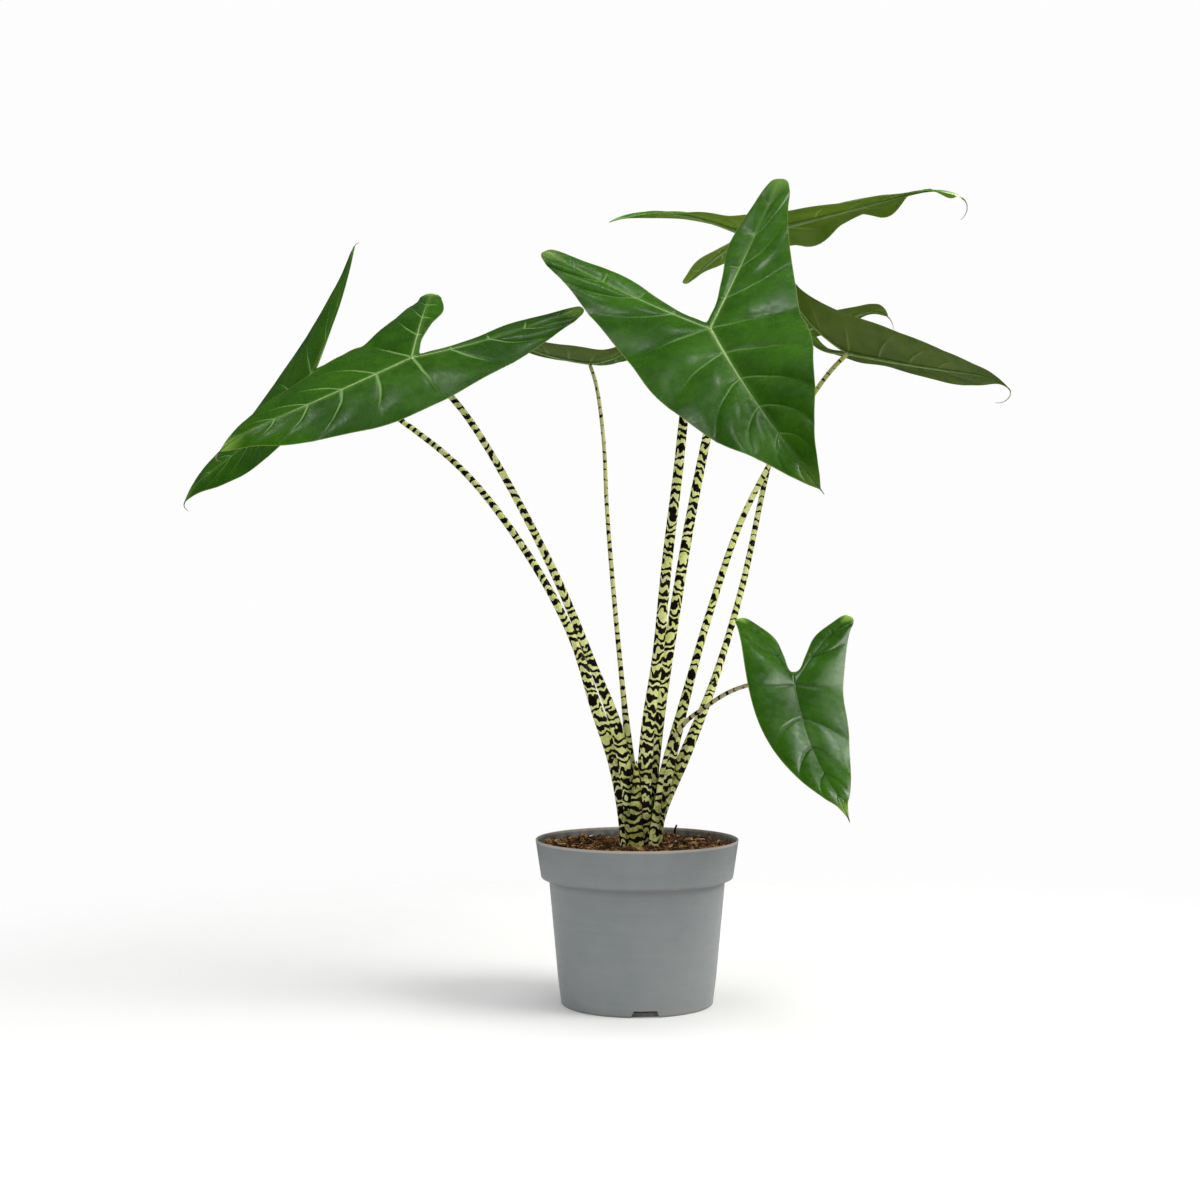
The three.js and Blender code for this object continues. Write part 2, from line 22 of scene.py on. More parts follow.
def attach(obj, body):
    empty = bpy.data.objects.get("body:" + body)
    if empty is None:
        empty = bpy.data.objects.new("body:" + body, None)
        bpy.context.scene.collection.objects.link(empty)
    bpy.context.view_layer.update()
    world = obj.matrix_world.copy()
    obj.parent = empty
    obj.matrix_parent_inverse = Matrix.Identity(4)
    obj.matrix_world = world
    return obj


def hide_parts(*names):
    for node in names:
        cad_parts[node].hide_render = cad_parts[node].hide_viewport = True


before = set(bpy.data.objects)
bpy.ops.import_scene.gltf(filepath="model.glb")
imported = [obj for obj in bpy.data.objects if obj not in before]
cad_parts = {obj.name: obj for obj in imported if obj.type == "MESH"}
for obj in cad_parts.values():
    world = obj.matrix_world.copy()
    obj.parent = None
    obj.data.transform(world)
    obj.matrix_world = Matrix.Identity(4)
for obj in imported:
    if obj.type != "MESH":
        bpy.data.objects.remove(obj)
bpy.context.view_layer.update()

Array = np.ndarray
Point = tuple[float, float, float]
Colour = tuple[float, float, float, float]
Profile = tuple[tuple[float, float], ...]
Faces = list[tuple[int, ...]]
Value: TypeAlias = "Signal | float | tuple[float, ...]"

MM = 0.001
UP = np.array([0.0, 0.0, 1.0])
log = logging.getLogger("alocasia")


class Slot(Enum):
    """Names of material slots, given with each new piece but not used by it."""

    POT = "pot_plastic"
    SOIL = "soil"
    PETIOLE = "petiole"
    SHEATH = "sheath"
    BLADE = "blade"


def srgb(red: float, green: float, blue: float) -> Colour:
    """A colour as seen on a screen, as the linear colour that shaders take.

    Args:
        red: its red, from 0 to 255.
        green: its green.
        blue: its blue.

    Returns:
        The linear colour, with full alpha.
    """
    shares = [channel / 255 for channel in (red, green, blue)]
    linear = [s / 12.92 if s <= 0.04045 else ((s + 0.055) / 1.055) ** 2.4 for s in shares]
    return (*linear, 1.0)


def smooth_step(value: Array, start: float, end: float) -> Array:
    """0 before start, 1 after end, and a smooth rise between them."""
    share = np.clip((value - start) / (end - start), 0, 1)
    return share * share * (3 - 2 * share)


def profile_at(points: Profile, x: Array) -> Array:
    """A smooth curve through points with no overshoot between them.

    Args:
        points: (x, y) pairs in rising order of x.
        x: where the curve is read.

    Returns:
        The curve's height at each x.
    """
    xs, ys = np.array(points, float).T
    steps = np.diff(xs)
    slopes = np.diff(ys) / steps
    tangents = np.concatenate([slopes[:1], np.zeros(len(xs) - 2), slopes[-1:]])
    same = slopes[:-1] * slopes[1:] > 0
    before, after = slopes[:-1][same], slopes[1:][same]
    tangents[1:-1][same] = 2 * before * after / (before + after)
    i = np.clip(np.searchsorted(xs, x, side="right") - 1, 0, len(steps) - 1)
    t = (x - xs[i]) / steps[i]
    rise = (3 - 2 * t) * t * t
    bend = tangents[i] * t * (1 - t) ** 2 - tangents[i + 1] * t * t * (1 - t)
    return ys[i] * (1 - rise) + ys[i + 1] * rise + steps[i] * bend


def unit(vectors: Array) -> Array:
    """The vectors at length one."""
    return vectors / np.maximum(np.linalg.norm(vectors, axis=-1, keepdims=True), 1e-12)


def vectors(*parts: Array | float) -> Array:
    """Vectors from their parts, of which some may be the same for all."""
    return np.stack(np.broadcast_arrays(*parts), -1)


def lengths_along(line: Array) -> Array:
    """How far along a line each of its points lies."""
    return np.concatenate([[0], np.cumsum(np.linalg.norm(np.diff(line, axis=0), axis=1))])


def grid_faces(index: Array, flip: bool = False) -> Faces:
    """Faces between the neighbouring rows and columns of a grid of vertex numbers.

    Args:
        index: vertex numbers, row by row. A number may repeat where the grid closes to a point.
        flip: turns the faces over.

    Returns:
        Quads, and triangles where corners coincide.
    """
    corners = (index[:-1, :-1], index[:-1, 1:], index[1:, 1:], index[1:, :-1])
    faces = [tuple(dict.fromkeys(face)) for face in zip(*(c.ravel().tolist() for c in corners))]
    return [face[::-1] if flip else face for face in faces if len(face) > 2]


def face_sides(faces: Faces) -> list[tuple[int, int]]:
    """The sides of each face in turn, as pairs of vertex numbers."""
    return [side for face in faces for side in zip(face, face[1:] + face[:1])]


def only_used(faces: Faces, count: int) -> tuple[Array, Faces]:
    """Leaves out the vertices that no face uses.

    Args:
        faces: the faces.
        count: how many vertices there are.

    Returns:
        The numbers of the used vertices, and the faces numbered anew.
    """
    used = np.unique([i for face in faces for i in face])
    renumber = np.full(count, -1)
    renumber[used] = np.arange(len(used))
    return used, [tuple(renumber[list(face)].tolist()) for face in faces]


def vertex_normals(points: Array, faces: Faces) -> Array:
    """Normals of a surface's vertices, with larger faces weighing more.

    Args:
        points: the surface's vertices.
        faces: its triangles and quads.

    Returns:
        A normal for each vertex.
    """
    normals = np.zeros_like(points)
    for count in (3, 4):
        group = np.array([face for face in faces if len(face) == count])
        if not len(group):
            continue
        across = points[group[:, 2]] - points[group[:, 0]]
        other = points[group[:, -1]] - points[group[:, 1]]
        area = np.cross(across, other)
        for corner in range(count):
            np.add.at(normals, group[:, corner], area)
    return unit(normals)


def thickened(points: Array, faces: Faces, half: Array) -> tuple[Array, Faces]:
    """Gives a sheet its thickness.

    Args:
        points: the sheet's vertices.
        faces: its faces.
        half: half its thickness at each vertex.

    Returns:
        The vertices, upper ones first, and the faces: the upper ones, the rim's, the lower ones.
    """
    offset = vertex_normals(points, faces) * half[:, None]
    count = len(points)
    sides = set(face_sides(faces))
    rim = [(b, a, a + count, b + count) for a, b in sides if (b, a) not in sides]
    under = [tuple(i + count for i in face[::-1]) for face in faces]
    return np.concatenate([points + offset, points - offset]), [*faces, *rim, *under]


def relaxed(points: Array, faces: Faces, fixed: Array, rounds: int = 14) -> Array:
    """A surface's points with its kinks evened out, its rim along the rim only.

    Args:
        points: the surface's vertices.
        faces: its faces.
        fixed: which vertices stay where they are.
        rounds: how often each point moves towards the middle of its neighbours and back.

    Returns:
        The evened points.
    """
    sides = face_sides(faces)
    known = set(sides)
    edges = np.array(sides)
    rim = np.array([(a, b) for a, b in sides if (b, a) not in known])
    on_rim = np.isin(np.arange(len(points)), rim)
    inner = np.concatenate([edges, edges[:, ::-1]])
    pairs = np.unique(np.concatenate([inner[~on_rim[inner[:, 0]]], rim, rim[:, ::-1]]), axis=0)
    degree = np.bincount(pairs[:, 0], minlength=len(points))[:, None]
    for _ in range(rounds):
        for share in (0.6, -0.62):
            total = np.zeros_like(points)
            np.add.at(total, pairs[:, 0], points[pairs[:, 1]])
            points = np.where(fixed[:, None], points, points + (total / degree - points) * share)
    return points


def smooth_shaded(mesh: Mesh, sharp: float) -> None:
    """Shades a mesh smooth, apart from edges bent by more than an angle in degrees."""
    mesh.shade_smooth()
    mesh.set_sharp_from_angle(angle=math.radians(sharp))


def set_mark(mesh: Mesh, name: str, vectors: Array) -> None:
    """Keeps a vector on each vertex of a mesh, for its materials to read."""
    layer = mesh.attributes.new(name, "FLOAT_VECTOR", "POINT")
    layer.data.foreach_set("vector", vectors.astype(np.float32).ravel())


def placed(name: str, data: ID) -> Object:
    """Puts a new object into the scene.

    Args:
        name: its name.
        data: its mesh, light or camera.

    Returns:
        The object.
    """
    made = bpy.data.objects.new(name, data)
    bpy.context.scene.collection.objects.link(made)
    return made


@dataclass
class Surface:
    """The vertices, faces and vertex marks of one piece, gathered in mm before it becomes a mesh."""

    points: list[Array] = field(default_factory=list)
    faces: Faces = field(default_factory=list)
    finishes: list[int] = field(default_factory=list)
    marks: dict[str, list[Array]] = field(default_factory=dict)
    count: int = 0

    def add(self, points: Array, faces: Faces, finish: int = 0, **marks: Array) -> None:
        """Adds a shell.

        Args:
            points: its vertices.
            faces: its faces, as numbers of those vertices.
            finish: which of the piece's materials it has.
            marks: vectors that the materials read, one for each vertex.
        """
        self.points.append(points)
        self.faces += [tuple(int(i) + self.count for i in face) for face in faces]
        self.finishes += [finish] * len(faces)
        for name, values in marks.items():
            self.marks.setdefault(name, []).append(values)
        self.count += len(points)

    def build(self, name: str, materials: Sequence[Material], slot: Slot,
              replaces: str | None = None, sharp: float = 50) -> Object:
        """Makes the piece, which rides on the plant's one body.

        Args:
            name: the piece's name.
            materials: its materials, in the order of the finish numbers.
            slot: the slot of its main finish; not used.
            replaces: the CAD node that it stands for, if any.
            sharp: edges bent by more than this angle stay sharp.

        Returns:
            The new object.
        """
        mesh = bpy.data.meshes.new(name)
        mesh.from_pydata(np.concatenate(self.points) * MM, [], self.faces)
        for material in materials:
            mesh.materials.append(material)
        mesh.polygons.foreach_set("material_index", self.finishes)
        for mark, values in self.marks.items():
            set_mark(mesh, mark, np.concatenate(values))
        smooth_shaded(mesh, sharp)
        piece = placed(name, mesh)
        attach(piece, "root")
        if replaces:
            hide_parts(replaces)
        log.info("%s: %d faces", name, len(mesh.polygons))
        return piece


def tube(path: Array, radii: Array, sides: int,
         swell: Callable[[Array], Array] | None = None) -> tuple[Array, Faces, Array]:
    """A closed round solid along a path.

    Args:
        path: the points of its centre line.
        radii: its radius at each of them.
        sides: how many sides it has.
        swell: gives each vertex's share of its ring's radius, from its direction from the centre line.

    Returns:
        The vertices, the faces, and each vertex's (across, across, along) place round the centre line.
    """
    tangents = unit(np.gradient(path, axis=0))
    normal = unit(np.cross(tangents[0], UP if abs(tangents[0][2]) < 0.9 else [0, 1, 0]))
    normals = []
    for tangent in tangents:
        normal = unit(normal - tangent * (normal @ tangent))
        normals.append(normal)
    normals = np.array(normals)
    binormals = np.cross(tangents, normals)
    angles = np.linspace(0, 2 * math.pi, sides, endpoint=False)
    cos, sin = np.cos(angles), np.sin(angles)
    circle = normals[:, None] * cos[:, None] + binormals[:, None] * sin[:, None]
    reach = np.repeat(radii[:, None], sides, axis=1)
    if swell:
        reach = reach * swell(circle)
    points = (path[:, None] + circle * reach[..., None]).reshape(-1, 3)
    place = vectors(cos * reach, sin * reach, lengths_along(path)[:, None])
    index = np.arange(len(points)).reshape(len(path), sides)
    faces = grid_faces(np.column_stack([index, index[:, 0]]))
    faces += [tuple(index[0][::-1].tolist()), tuple(index[-1].tolist())]
    return points, faces, place.reshape(-1, 3)


@dataclass(frozen=True)
class Signal:
    """What a node puts out, a number, a place or a colour, with the sums that can follow it."""

    shader: "Shader"
    socket: NodeSocket

    def sum(self, operation: str, other: Value = 0.0) -> "Signal":
        """A Math node's sum of this number, or of it and another."""
        return self.shader.node("Math", 0, {0: self, 1: other}, operation=operation)

    def __add__(self, other: Value) -> "Signal":
        """Adds a number."""
        return self.sum("ADD", other)

    def __sub__(self, other: Value) -> "Signal":
        """Takes a number away."""
        return self.sum("SUBTRACT", other)

    def __mul__(self, other: Value) -> "Signal":
        """Multiplies by a number."""
        return self.sum("MULTIPLY", other)

    def step(self, start: Value, end: Value, low: Value = 0.0, high: Value = 1.0) -> "Signal":
        """A smooth rise from low at start to high at end, or a fall where start is above end."""
        inputs = {0: self, 1: start, 2: end, 3: low, 4: high}
        return self.shader.node("MapRange", 0, inputs, interpolation_type="SMOOTHSTEP")

    def between(self, first: Value, second: Value) -> "Signal":
        """Mixes two colours.

        Args:
            first: the colour where this number is 0.
            second: the colour where it is 1.

        Returns:
            The mixed colour.
        """
        mixer = self.shader.node("Mix", "Result", {"Factor": self}, data_type="RGBA").socket.node
        colours = [socket for socket in mixer.inputs if socket.type == "RGBA"]
        for socket, colour in zip(colours, (first, second)):
            self.shader.feed(socket, colour)
        return Signal(self.shader, next(out for out in mixer.outputs if out.type == "RGBA"))

    def under(self, *layers: tuple[Value, "Signal"]) -> "Signal":
        """This colour under layers, each of a colour and the share of it that shows."""
        return reduce(lambda below, layer: layer[1].between(below, layer[0]), layers, self)

    def parts(self) -> tuple["Signal", ...]:
        """A vector's three numbers."""
        node = self.shader.node("SeparateXYZ", 0, {0: self}).socket.node
        return tuple(Signal(self.shader, out) for out in node.outputs)

    def stretched(self, x: float, y: float, z: float) -> "Signal":
        """A vector, each part multiplied."""
        return self.shader.node("VectorMath", 0, {0: self, 1: (x, y, z)}, operation="MULTIPLY")

    def noise(self, scale: Value, detail: float = 2.0, roughness: float = 0.5) -> "Signal":
        """Soft noise from 0 to 1 at this place."""
        inputs = {"Vector": self, "Scale": scale, "Detail": detail, "Roughness": roughness}
        return self.shader.node("TexNoise", "Fac", inputs)

    def bump(self, strength: float, distance: float) -> "Signal":
        """The normal of a skin with this height in mm."""
        inputs = {"Height": self, "Strength": strength, "Distance": distance * MM}
        return self.shader.node("Bump", 0, inputs)


class Shader:
    """Adds nodes to a node tree and joins them."""

    def __init__(self, tree: NodeTree) -> None:
        """Takes the tree that the nodes go into."""
        self.tree = tree

    def node(self, kind: str, output: str | int, inputs: dict[str | int, Value] | None = None,
             **settings: object) -> Signal:
        """Adds a node.

        Args:
            kind: the node's type, without its "ShaderNode".
            output: the output that is wanted.
            inputs: what its sockets get: another node's output, or a plain value.
            settings: the node's own properties.

        Returns:
            What it puts out.
        """
        made = self.tree.nodes.new("ShaderNode" + kind)
        for name, value in settings.items():
            setattr(made, name, value)
        for name, value in (inputs or {}).items():
            self.feed(made.inputs[name], value)
        return Signal(self, made.outputs[output])

    def feed(self, socket: NodeSocket, value: Value) -> None:
        """Joins a signal to a socket, or sets the socket's plain value.

        Args:
            socket: the socket.
            value: what it gets.
        """
        if isinstance(value, Signal):
            self.tree.links.new(value.socket, socket)
        else:
            socket.default_value = value

    def mark(self, name: str) -> Signal:
        """A vector kept on the mesh's vertices."""
        return self.node("Attribute", "Vector", attribute_name=name)

    def place_in_mm(self) -> Signal:
        """Where a point is in its object's frame, in mm."""
        return self.node("TexCoord", "Object").stretched(1 / MM, 1 / MM, 1 / MM)

    def effect(self, effect: NodeTree, **inputs: Value) -> dict[str, Signal]:
        """Places an effect's group.

        Args:
            effect: the group.
            inputs: what its sockets get, by their names in small letters.

        Returns:
            What it puts out, by name.
        """
        made = self.tree.nodes.new("ShaderNodeGroup")
        made.node_tree = effect
        for name, value in inputs.items():
            self.feed(made.inputs[name.capitalize()], value)
        return {out.name: Signal(self, out) for out in made.outputs}


class Skin(Shader):
    """Fills a new material, whose looks end in its Principled node."""

    def __init__(self, name: str) -> None:
        """Starts the material.

        Args:
            name: the material's name.
        """
        self.material = bpy.data.materials.new(name)
        self.material.use_nodes = True
        super().__init__(self.material.node_tree)
        self.principled = self.tree.nodes["Principled BSDF"]

    def finished(self, colour: Value, roughness: Value, normal: Signal | None = None,
                 gloss: float = 0.5) -> Material:
        """Gives the Principled node its looks.

        Args:
            colour: the base colour.
            roughness: the roughness.
            normal: the normal, where there is relief.
            gloss: the specular level.

        Returns:
            The material.
        """
        inputs = self.principled.inputs
        self.feed(inputs["Base Color"], colour)
        self.feed(inputs["Roughness"], roughness)
        if normal:
            self.feed(inputs["Normal"], normal)
        inputs["Specular IOR Level"].default_value = gloss
        return self.material


def new_effect(name: str, inputs: dict[str, str],
               outputs: Sequence[str]) -> tuple[NodeTree, Shader, dict[str, Signal], NodeInputs]:
    """Starts an effect that several materials share.

    Args:
        name: the group's name.
        inputs: its input sockets' names and kinds, Float or Vector.
        outputs: its output sockets' names, all numbers.

    Returns:
        The group, a Shader to fill it, what comes in and what goes out, both by name.
    """
    group = bpy.data.node_groups.new(name, "ShaderNodeTree")
    for socket, kind in inputs.items():
        group.interface.new_socket(socket, in_out="INPUT", socket_type="NodeSocket" + kind)
    for socket in outputs:
        group.interface.new_socket(socket, in_out="OUTPUT", socket_type="NodeSocketFloat")
    entry, end = group.nodes.new("NodeGroupInput"), group.nodes.new("NodeGroupOutput")
    shader = Shader(group)
    given = {socket: Signal(shader, entry.outputs[socket]) for socket in inputs}
    return group, shader, given, end.inputs


def mottle_effect() -> NodeTree:
    """Uneven tone: a broad cloud with a finer one in it, from 0 to 1 about a middle of one half.

    Returns:
        The group.
    """
    finer, limits = 6.3, (0.32, 0.68)
    broad_share, fine_share = 0.65, 0.35
    sockets = {"Place": "Vector", "Scale": "Float"}
    group, shader, given, out = new_effect("mottle", sockets, ["Tone"])
    broad = given["Place"].noise(given["Scale"], detail=2)
    fine = given["Place"].noise(given["Scale"] * finer, detail=4)
    shader.feed(out["Tone"], (broad * broad_share + fine * fine_share).step(*limits))
    return group


def vein_effect() -> NodeTree:
    """A blade's veins, read from the marks on its vertices.

    The mark "vein" holds a whole number on each lateral vein, the distance from the rib in mm and
    the share of the way to the margin; "edge" holds the distance from the margin in mm, the share
    along the rib and the row's half width; "chart" holds the place on the flattened blade in mm.

    Returns:
        The group. Its height is in mm, down into a face whose veins are sunk in.
    """
    dip_depth, net_depth, grain_depth = 0.38, 0.008, 0.015
    dip_width, vein_width, vein_end_width, wander = 3.0, 1.3, 0.45, 0.1
    rib_strip, margin_strip = (4.5, 0.8), (0.7, 0.2)
    outputs = ["Lateral", "Net", "Margin", "Rib side", "Height"]
    group, shader, given, out = new_effect("veins", {"Spacing": "Float"}, outputs)
    number, across, reach = shader.mark("vein").parts()
    margin, share, _ = shader.mark("edge").parts()
    chart = shader.mark("chart")
    number = number + (chart.noise(0.05, detail=1) - 0.5) * wander
    distance = (number - number.sum("ROUND")).sum("ABSOLUTE") * given["Spacing"]
    width = reach.step(0.0, 0.85, vein_width, vein_end_width)
    line = distance.step(width * 1.2, width * 0.35)
    fade = reach.step(0.85, 0.3) * share.step(0.95, 0.72)
    cells = {"Vector": chart, "Scale": 0.32}
    net = shader.node("TexVoronoi", "Distance", cells, feature="DISTANCE_TO_EDGE").step(0.09, 0.0)
    dip = distance.step(dip_width, 0.0) * fade
    grain = chart.noise(0.5, detail=1)
    shader.feed(out["Lateral"], line * fade)
    shader.feed(out["Net"], net)
    shader.feed(out["Margin"], margin.step(*margin_strip))
    shader.feed(out["Rib side"], across.step(*rib_strip))
    shader.feed(out["Height"], dip * dip_depth + (net * net_depth + grain * grain_depth))
    return group


def zebra_effect() -> NodeTree:
    """Zebra marks round a stalk: dark bands that wander, fork and close to loops.

    Place is the place round and along the stalk in mm, Bands counts the bands along it, Swirl is how
    far they wander, in radians, and Cover is the share of the skin that they darken.

    Returns:
        The group.
    """
    softness, forking = 0.3, 2.4
    sockets = {"Place": "Vector", "Bands": "Float", "Swirl": "Float", "Cover": "Float"}
    group, shader, given, out = new_effect("zebra_marks", sockets, ["Mark"])
    flat = given["Place"].stretched(1.15, 1.15, 0.85)
    wander = (flat.noise(0.12, roughness=0.4) - 0.5) * given["Swirl"]
    wave = (given["Bands"] * (2 * math.pi) + wander).sum("SINE")
    limit = given["Cover"] * -2.1 + 1.15 + (flat.noise(0.22) - 0.5) * forking
    shader.feed(out["Mark"], wave.step(limit, limit + softness))
    return group


@dataclass(frozen=True)
class Effects:
    """The node groups that the materials share."""

    mottle: NodeTree = field(default_factory=mottle_effect)
    veins: NodeTree = field(default_factory=vein_effect)
    zebra: NodeTree = field(default_factory=zebra_effect)

    def tone(self, place: Signal, scale: float) -> Signal:
        """The mottle at a scale, as a number from 0 to 1."""
        return place.shader.effect(self.mottle, place=place, scale=scale)["Tone"]


@dataclass(frozen=True)
class BladeFinish:
    """One face of a blade: glossy dark green above, satin olive below."""

    name: str
    deep: Colour
    light: Colour
    vein: Colour
    edge: Colour
    tip: Colour
    # painted shade: the dark vein colour of a leaf whose ribs are sunk in stands for the shadow in their
    # grooves
    sunk_vein_shade: Colour  # of the veins of a leaf whose ribs are sunk in
    vein_share: float
    roughness: float
    gloss: float
    relief: float  # 1 where the veins are sunk in, -1 where they stand out
    cloud: float = 0.014  # scale of its broad unevenness, and of its fine one
    grain: float = 0.17
    cloud_share: float = 0.86  # how much each shows
    grain_share: float = 0.07
    net_share: float = 0.06  # how much of the vein's colour the net between the veins has
    rib_share: float = 0.2  # and the strip beside a rib
    edge_share: float = 0.6
    tip_from: float = 0.84  # share of the rib where the paler tip starts

    def make(self, effects: Effects, leaf: "Leaf") -> Material:
        """Makes the material for one leaf's blade.

        Args:
            effects: the node groups.
            leaf: the leaf.

        Returns:
            The material.
        """
        skin = Skin(f"{self.name}_{leaf.name}")
        veins = skin.effect(effects.veins, spacing=leaf.midrib.length / leaf.veins)
        vein = self.sunk_vein_shade if leaf.sunk_ribs_shaded else self.vein
        chart = skin.mark("chart")
        tone, fine = effects.tone(chart, self.cloud), effects.tone(chart, self.grain)
        _, share, _ = skin.mark("edge").parts()
        green = (tone * self.cloud_share + fine * self.grain_share).between(self.deep, self.light)
        green = green.under(
            (vein, veins["Net"] * self.net_share),
            (vein, veins["Rib side"] * self.rib_share),
            (vein, veins["Lateral"] * (self.vein_share * leaf.vein_contrast)),
            (self.tip, share.step(self.tip_from, 1.0) * leaf.pale_tips),
            (self.edge, veins["Margin"] * self.edge_share),
        )
        green = skin.node("HueSaturation", 0, {"Value": leaf.brightness, "Color": green})
        rough = fine.step(0.0, 1.0, self.roughness - 0.05, self.roughness + 0.07)
        normal = (veins["Height"] * -self.relief).bump(0.8, 1.0)
        return skin.finished(green, rough, normal, self.gloss)


@dataclass(frozen=True)
class StalkFinish:
    """A stalk's pale skin with near-black zebra marks, more olive where it sheathes the clump."""

    name: str
    pale: Colour
    shade: Colour
    olive: Colour
    freckle: Colour
    mark: Colour
    blush: Colour
    withered: Colour
    roughness: float
    faded_mark: Colour = srgb(22, 16, 10)
    sheath_top: tuple[float, float] = (235.0, 165.0)  # heights between which the olive comes in
    thin: tuple[float, float] = (1.8, 4.2)  # radii between which the marks start to wander
    swirl: tuple[float, float] = (6.0, 18.0)  # how far they wander on a thin and on a thick stalk
    olive_share: float = 0.6  # how much of each colour is mixed in at most
    freckle_share: float = 0.55
    blush_share: float = 0.3
    withered_share: float = 0.8
    gloss: float = 0.12

    def make(self, effects: Effects) -> Material:
        """Makes the material.

        It reads the marks "stalk" (round, round, along in mm), "rise" (share, height, radius) and
        "zebra" (band count, cover, browning).

        Args:
            effects: the node groups.

        Returns:
            The material.
        """
        skin = Skin(self.name)
        place = skin.mark("stalk")
        _, height, radius = skin.mark("rise").parts()
        bands, cover, brown = skin.mark("zebra").parts()
        tone, fine = effects.tone(place, 0.06), effects.tone(place, 0.4)
        sheath = height.step(*self.sheath_top) * tone.step(0.3, 0.8)
        swirl = radius.step(*self.thin, *self.swirl)
        marks = skin.effect(effects.zebra, place=place, bands=bands, swirl=swirl, cover=cover)["Mark"]
        dark = fine.step(0.3, 0.8).between(self.mark, self.faded_mark)
        rough = fine.step(0.0, 1.0, self.roughness - 0.06, self.roughness + 0.1)
        lines = place.stretched(1.0, 1.0, 0.06).noise(1.6)
        normal = (lines + marks * -0.35).bump(0.5, 0.25)
        colour = tone.between(self.pale, self.shade).under(
            (self.olive, sheath * self.olive_share),
            (self.freckle, fine.step(0.5, 0.7) * sheath * self.freckle_share),
            (self.blush, fine.step(0.6, 0.95) * self.blush_share),
            (self.withered, brown * self.withered_share),
            (dark, marks),
        )
        return skin.finished(colour, rough, normal, self.gloss)


@dataclass(frozen=True)
class RibFinish:
    """A blade's ribs: pale green that fades into the leaf's green towards their ends."""

    name: str
    pale: Colour
    shade: Colour
    end: Colour
    spot: Colour
    thread: Colour
    spot_share: float = 0.5
    roughness: float = 0.38

    def make(self, effects: Effects) -> Material:
        """Makes the material, which reads the marks "stalk" and "rise".

        Args:
            effects: the node groups.

        Returns:
            The material.
        """
        skin = Skin(self.name)
        place = skin.mark("stalk")
        share, _, _ = skin.mark("rise").parts()
        tone, fine = effects.tone(place, 0.12), effects.tone(place, 0.9)
        colour = tone.between(self.pale, self.shade).under(
            (self.spot, fine.step(0.62, 0.7) * share.step(0.2, 0.0) * self.spot_share),
            (self.end, share.step(0.45, 0.98)),
            (self.thread, share.step(1.0, 1.25)),
        )
        rough = fine.step(0.0, 1.0, self.roughness - 0.06, self.roughness + 0.08)
        lines = place.stretched(1.0, 1.0, 0.05).noise(2.2)
        return skin.finished(colour, rough, lines.bump(0.4, 0.15))


@dataclass(frozen=True)
class PlasticFinish:
    """The pot's satin moulded plastic, scuffed and a little soiled inside, with painted shade inside,
    under the collar and along the foot, and a painted highlight along its lip.
    """

    name: str = "grey_plastic"
    body: Colour = srgb(129, 134, 136)
    worn: Colour = srgb(150, 153, 152)
    # painted highlight: the paler colour of the top of the lip
    rim: Colour = srgb(184, 176, 166)
    # painted shade: this colour darkens the wall's inner side, the band under the collar and the foot
    shaded: Colour = srgb(92, 86, 82)
    dirt: Colour = srgb(74, 58, 44)
    dust: Colour = srgb(150, 146, 136)
    worn_share: float = 0.35  # how much of each colour is mixed in at most
    shaded_share: float = 0.4
    lip_highlight_share: float = 0.85
    dirt_share: float = 0.8
    neck_shade_share: float = 0.35
    dust_share: float = 0.25
    roughness: float = 0.42
    lip: tuple[float, float] = (2.6, 1.4)  # how far below the top its paler lip starts and is full
    # painted shade under the collar
    neck: float = 7  # how far down the shade under the collar reaches
    dusty_foot: float = 16  # height that the dust on its foot reaches

    def make(self, effects: Effects) -> Material:
        """Makes the material, which reads the pot's "turned" mark: radius, height and wall side.

        Args:
            effects: the node groups.

        Returns:
            The material.
        """
        skin = Skin(self.name)
        place = skin.place_in_mm()
        _, height, inside = skin.mark("turned").parts()
        tone, fine = effects.tone(place, 0.012), effects.tone(place, 0.5)
        flow = place.stretched(0.02, 0.02, 0.25).noise(1.0, detail=3)
        scratch = place.stretched(0.05, 0.05, 1.4).noise(1.0, detail=6, roughness=0.7)
        scratch = scratch.step(0.66, 0.74) * fine.step(0.35, 0.8)
        # painted highlight: a paler band along the top of the lip
        lip = height.step(*(POT.height - depth for depth in self.lip))
        low = height.step(POT.height - 1.0, SOIL.edge, 0.25, 1.0)
        soiled = place.noise(0.18, detail=5, roughness=0.65).step(0.44, 0.6) * low * inside
        # painted shade in the band just below the collar
        below = height.step(POT.neck_height - self.neck, POT.neck_height)
        neck = below * height.step(POT.collar_foot, POT.neck_height + 1)
        dusty = height.step(self.dusty_foot, 0.0) * tone.step(0.2, 0.9)
        colour = (tone * self.worn_share).between(self.body, self.worn).under(
            (self.worn, flow.step(0.35, 0.75, 0.0, 0.15)),
            (self.worn, scratch * self.worn_share),
            # painted shade on the wall's inner side
            (self.shaded, inside * self.shaded_share),
            (self.rim, lip * self.lip_highlight_share),
            (self.dirt, soiled * self.dirt_share),
            (self.shaded, neck * self.neck_shade_share),
            # painted shade along the foot, where it meets the floor
            (self.shaded, height.step(2.2, 0.4, 0.0, 0.6)),
            (self.dust, dusty * self.dust_share),
        )
        rough = fine.step(0.0, 1.0, self.roughness - 0.05, self.roughness + 0.08) + soiled * 0.35
        relief = place.noise(1.8, detail=3) * 0.6 + scratch * -0.5 + soiled
        return skin.finished(colour, rough, relief.bump(0.35, 0.12))


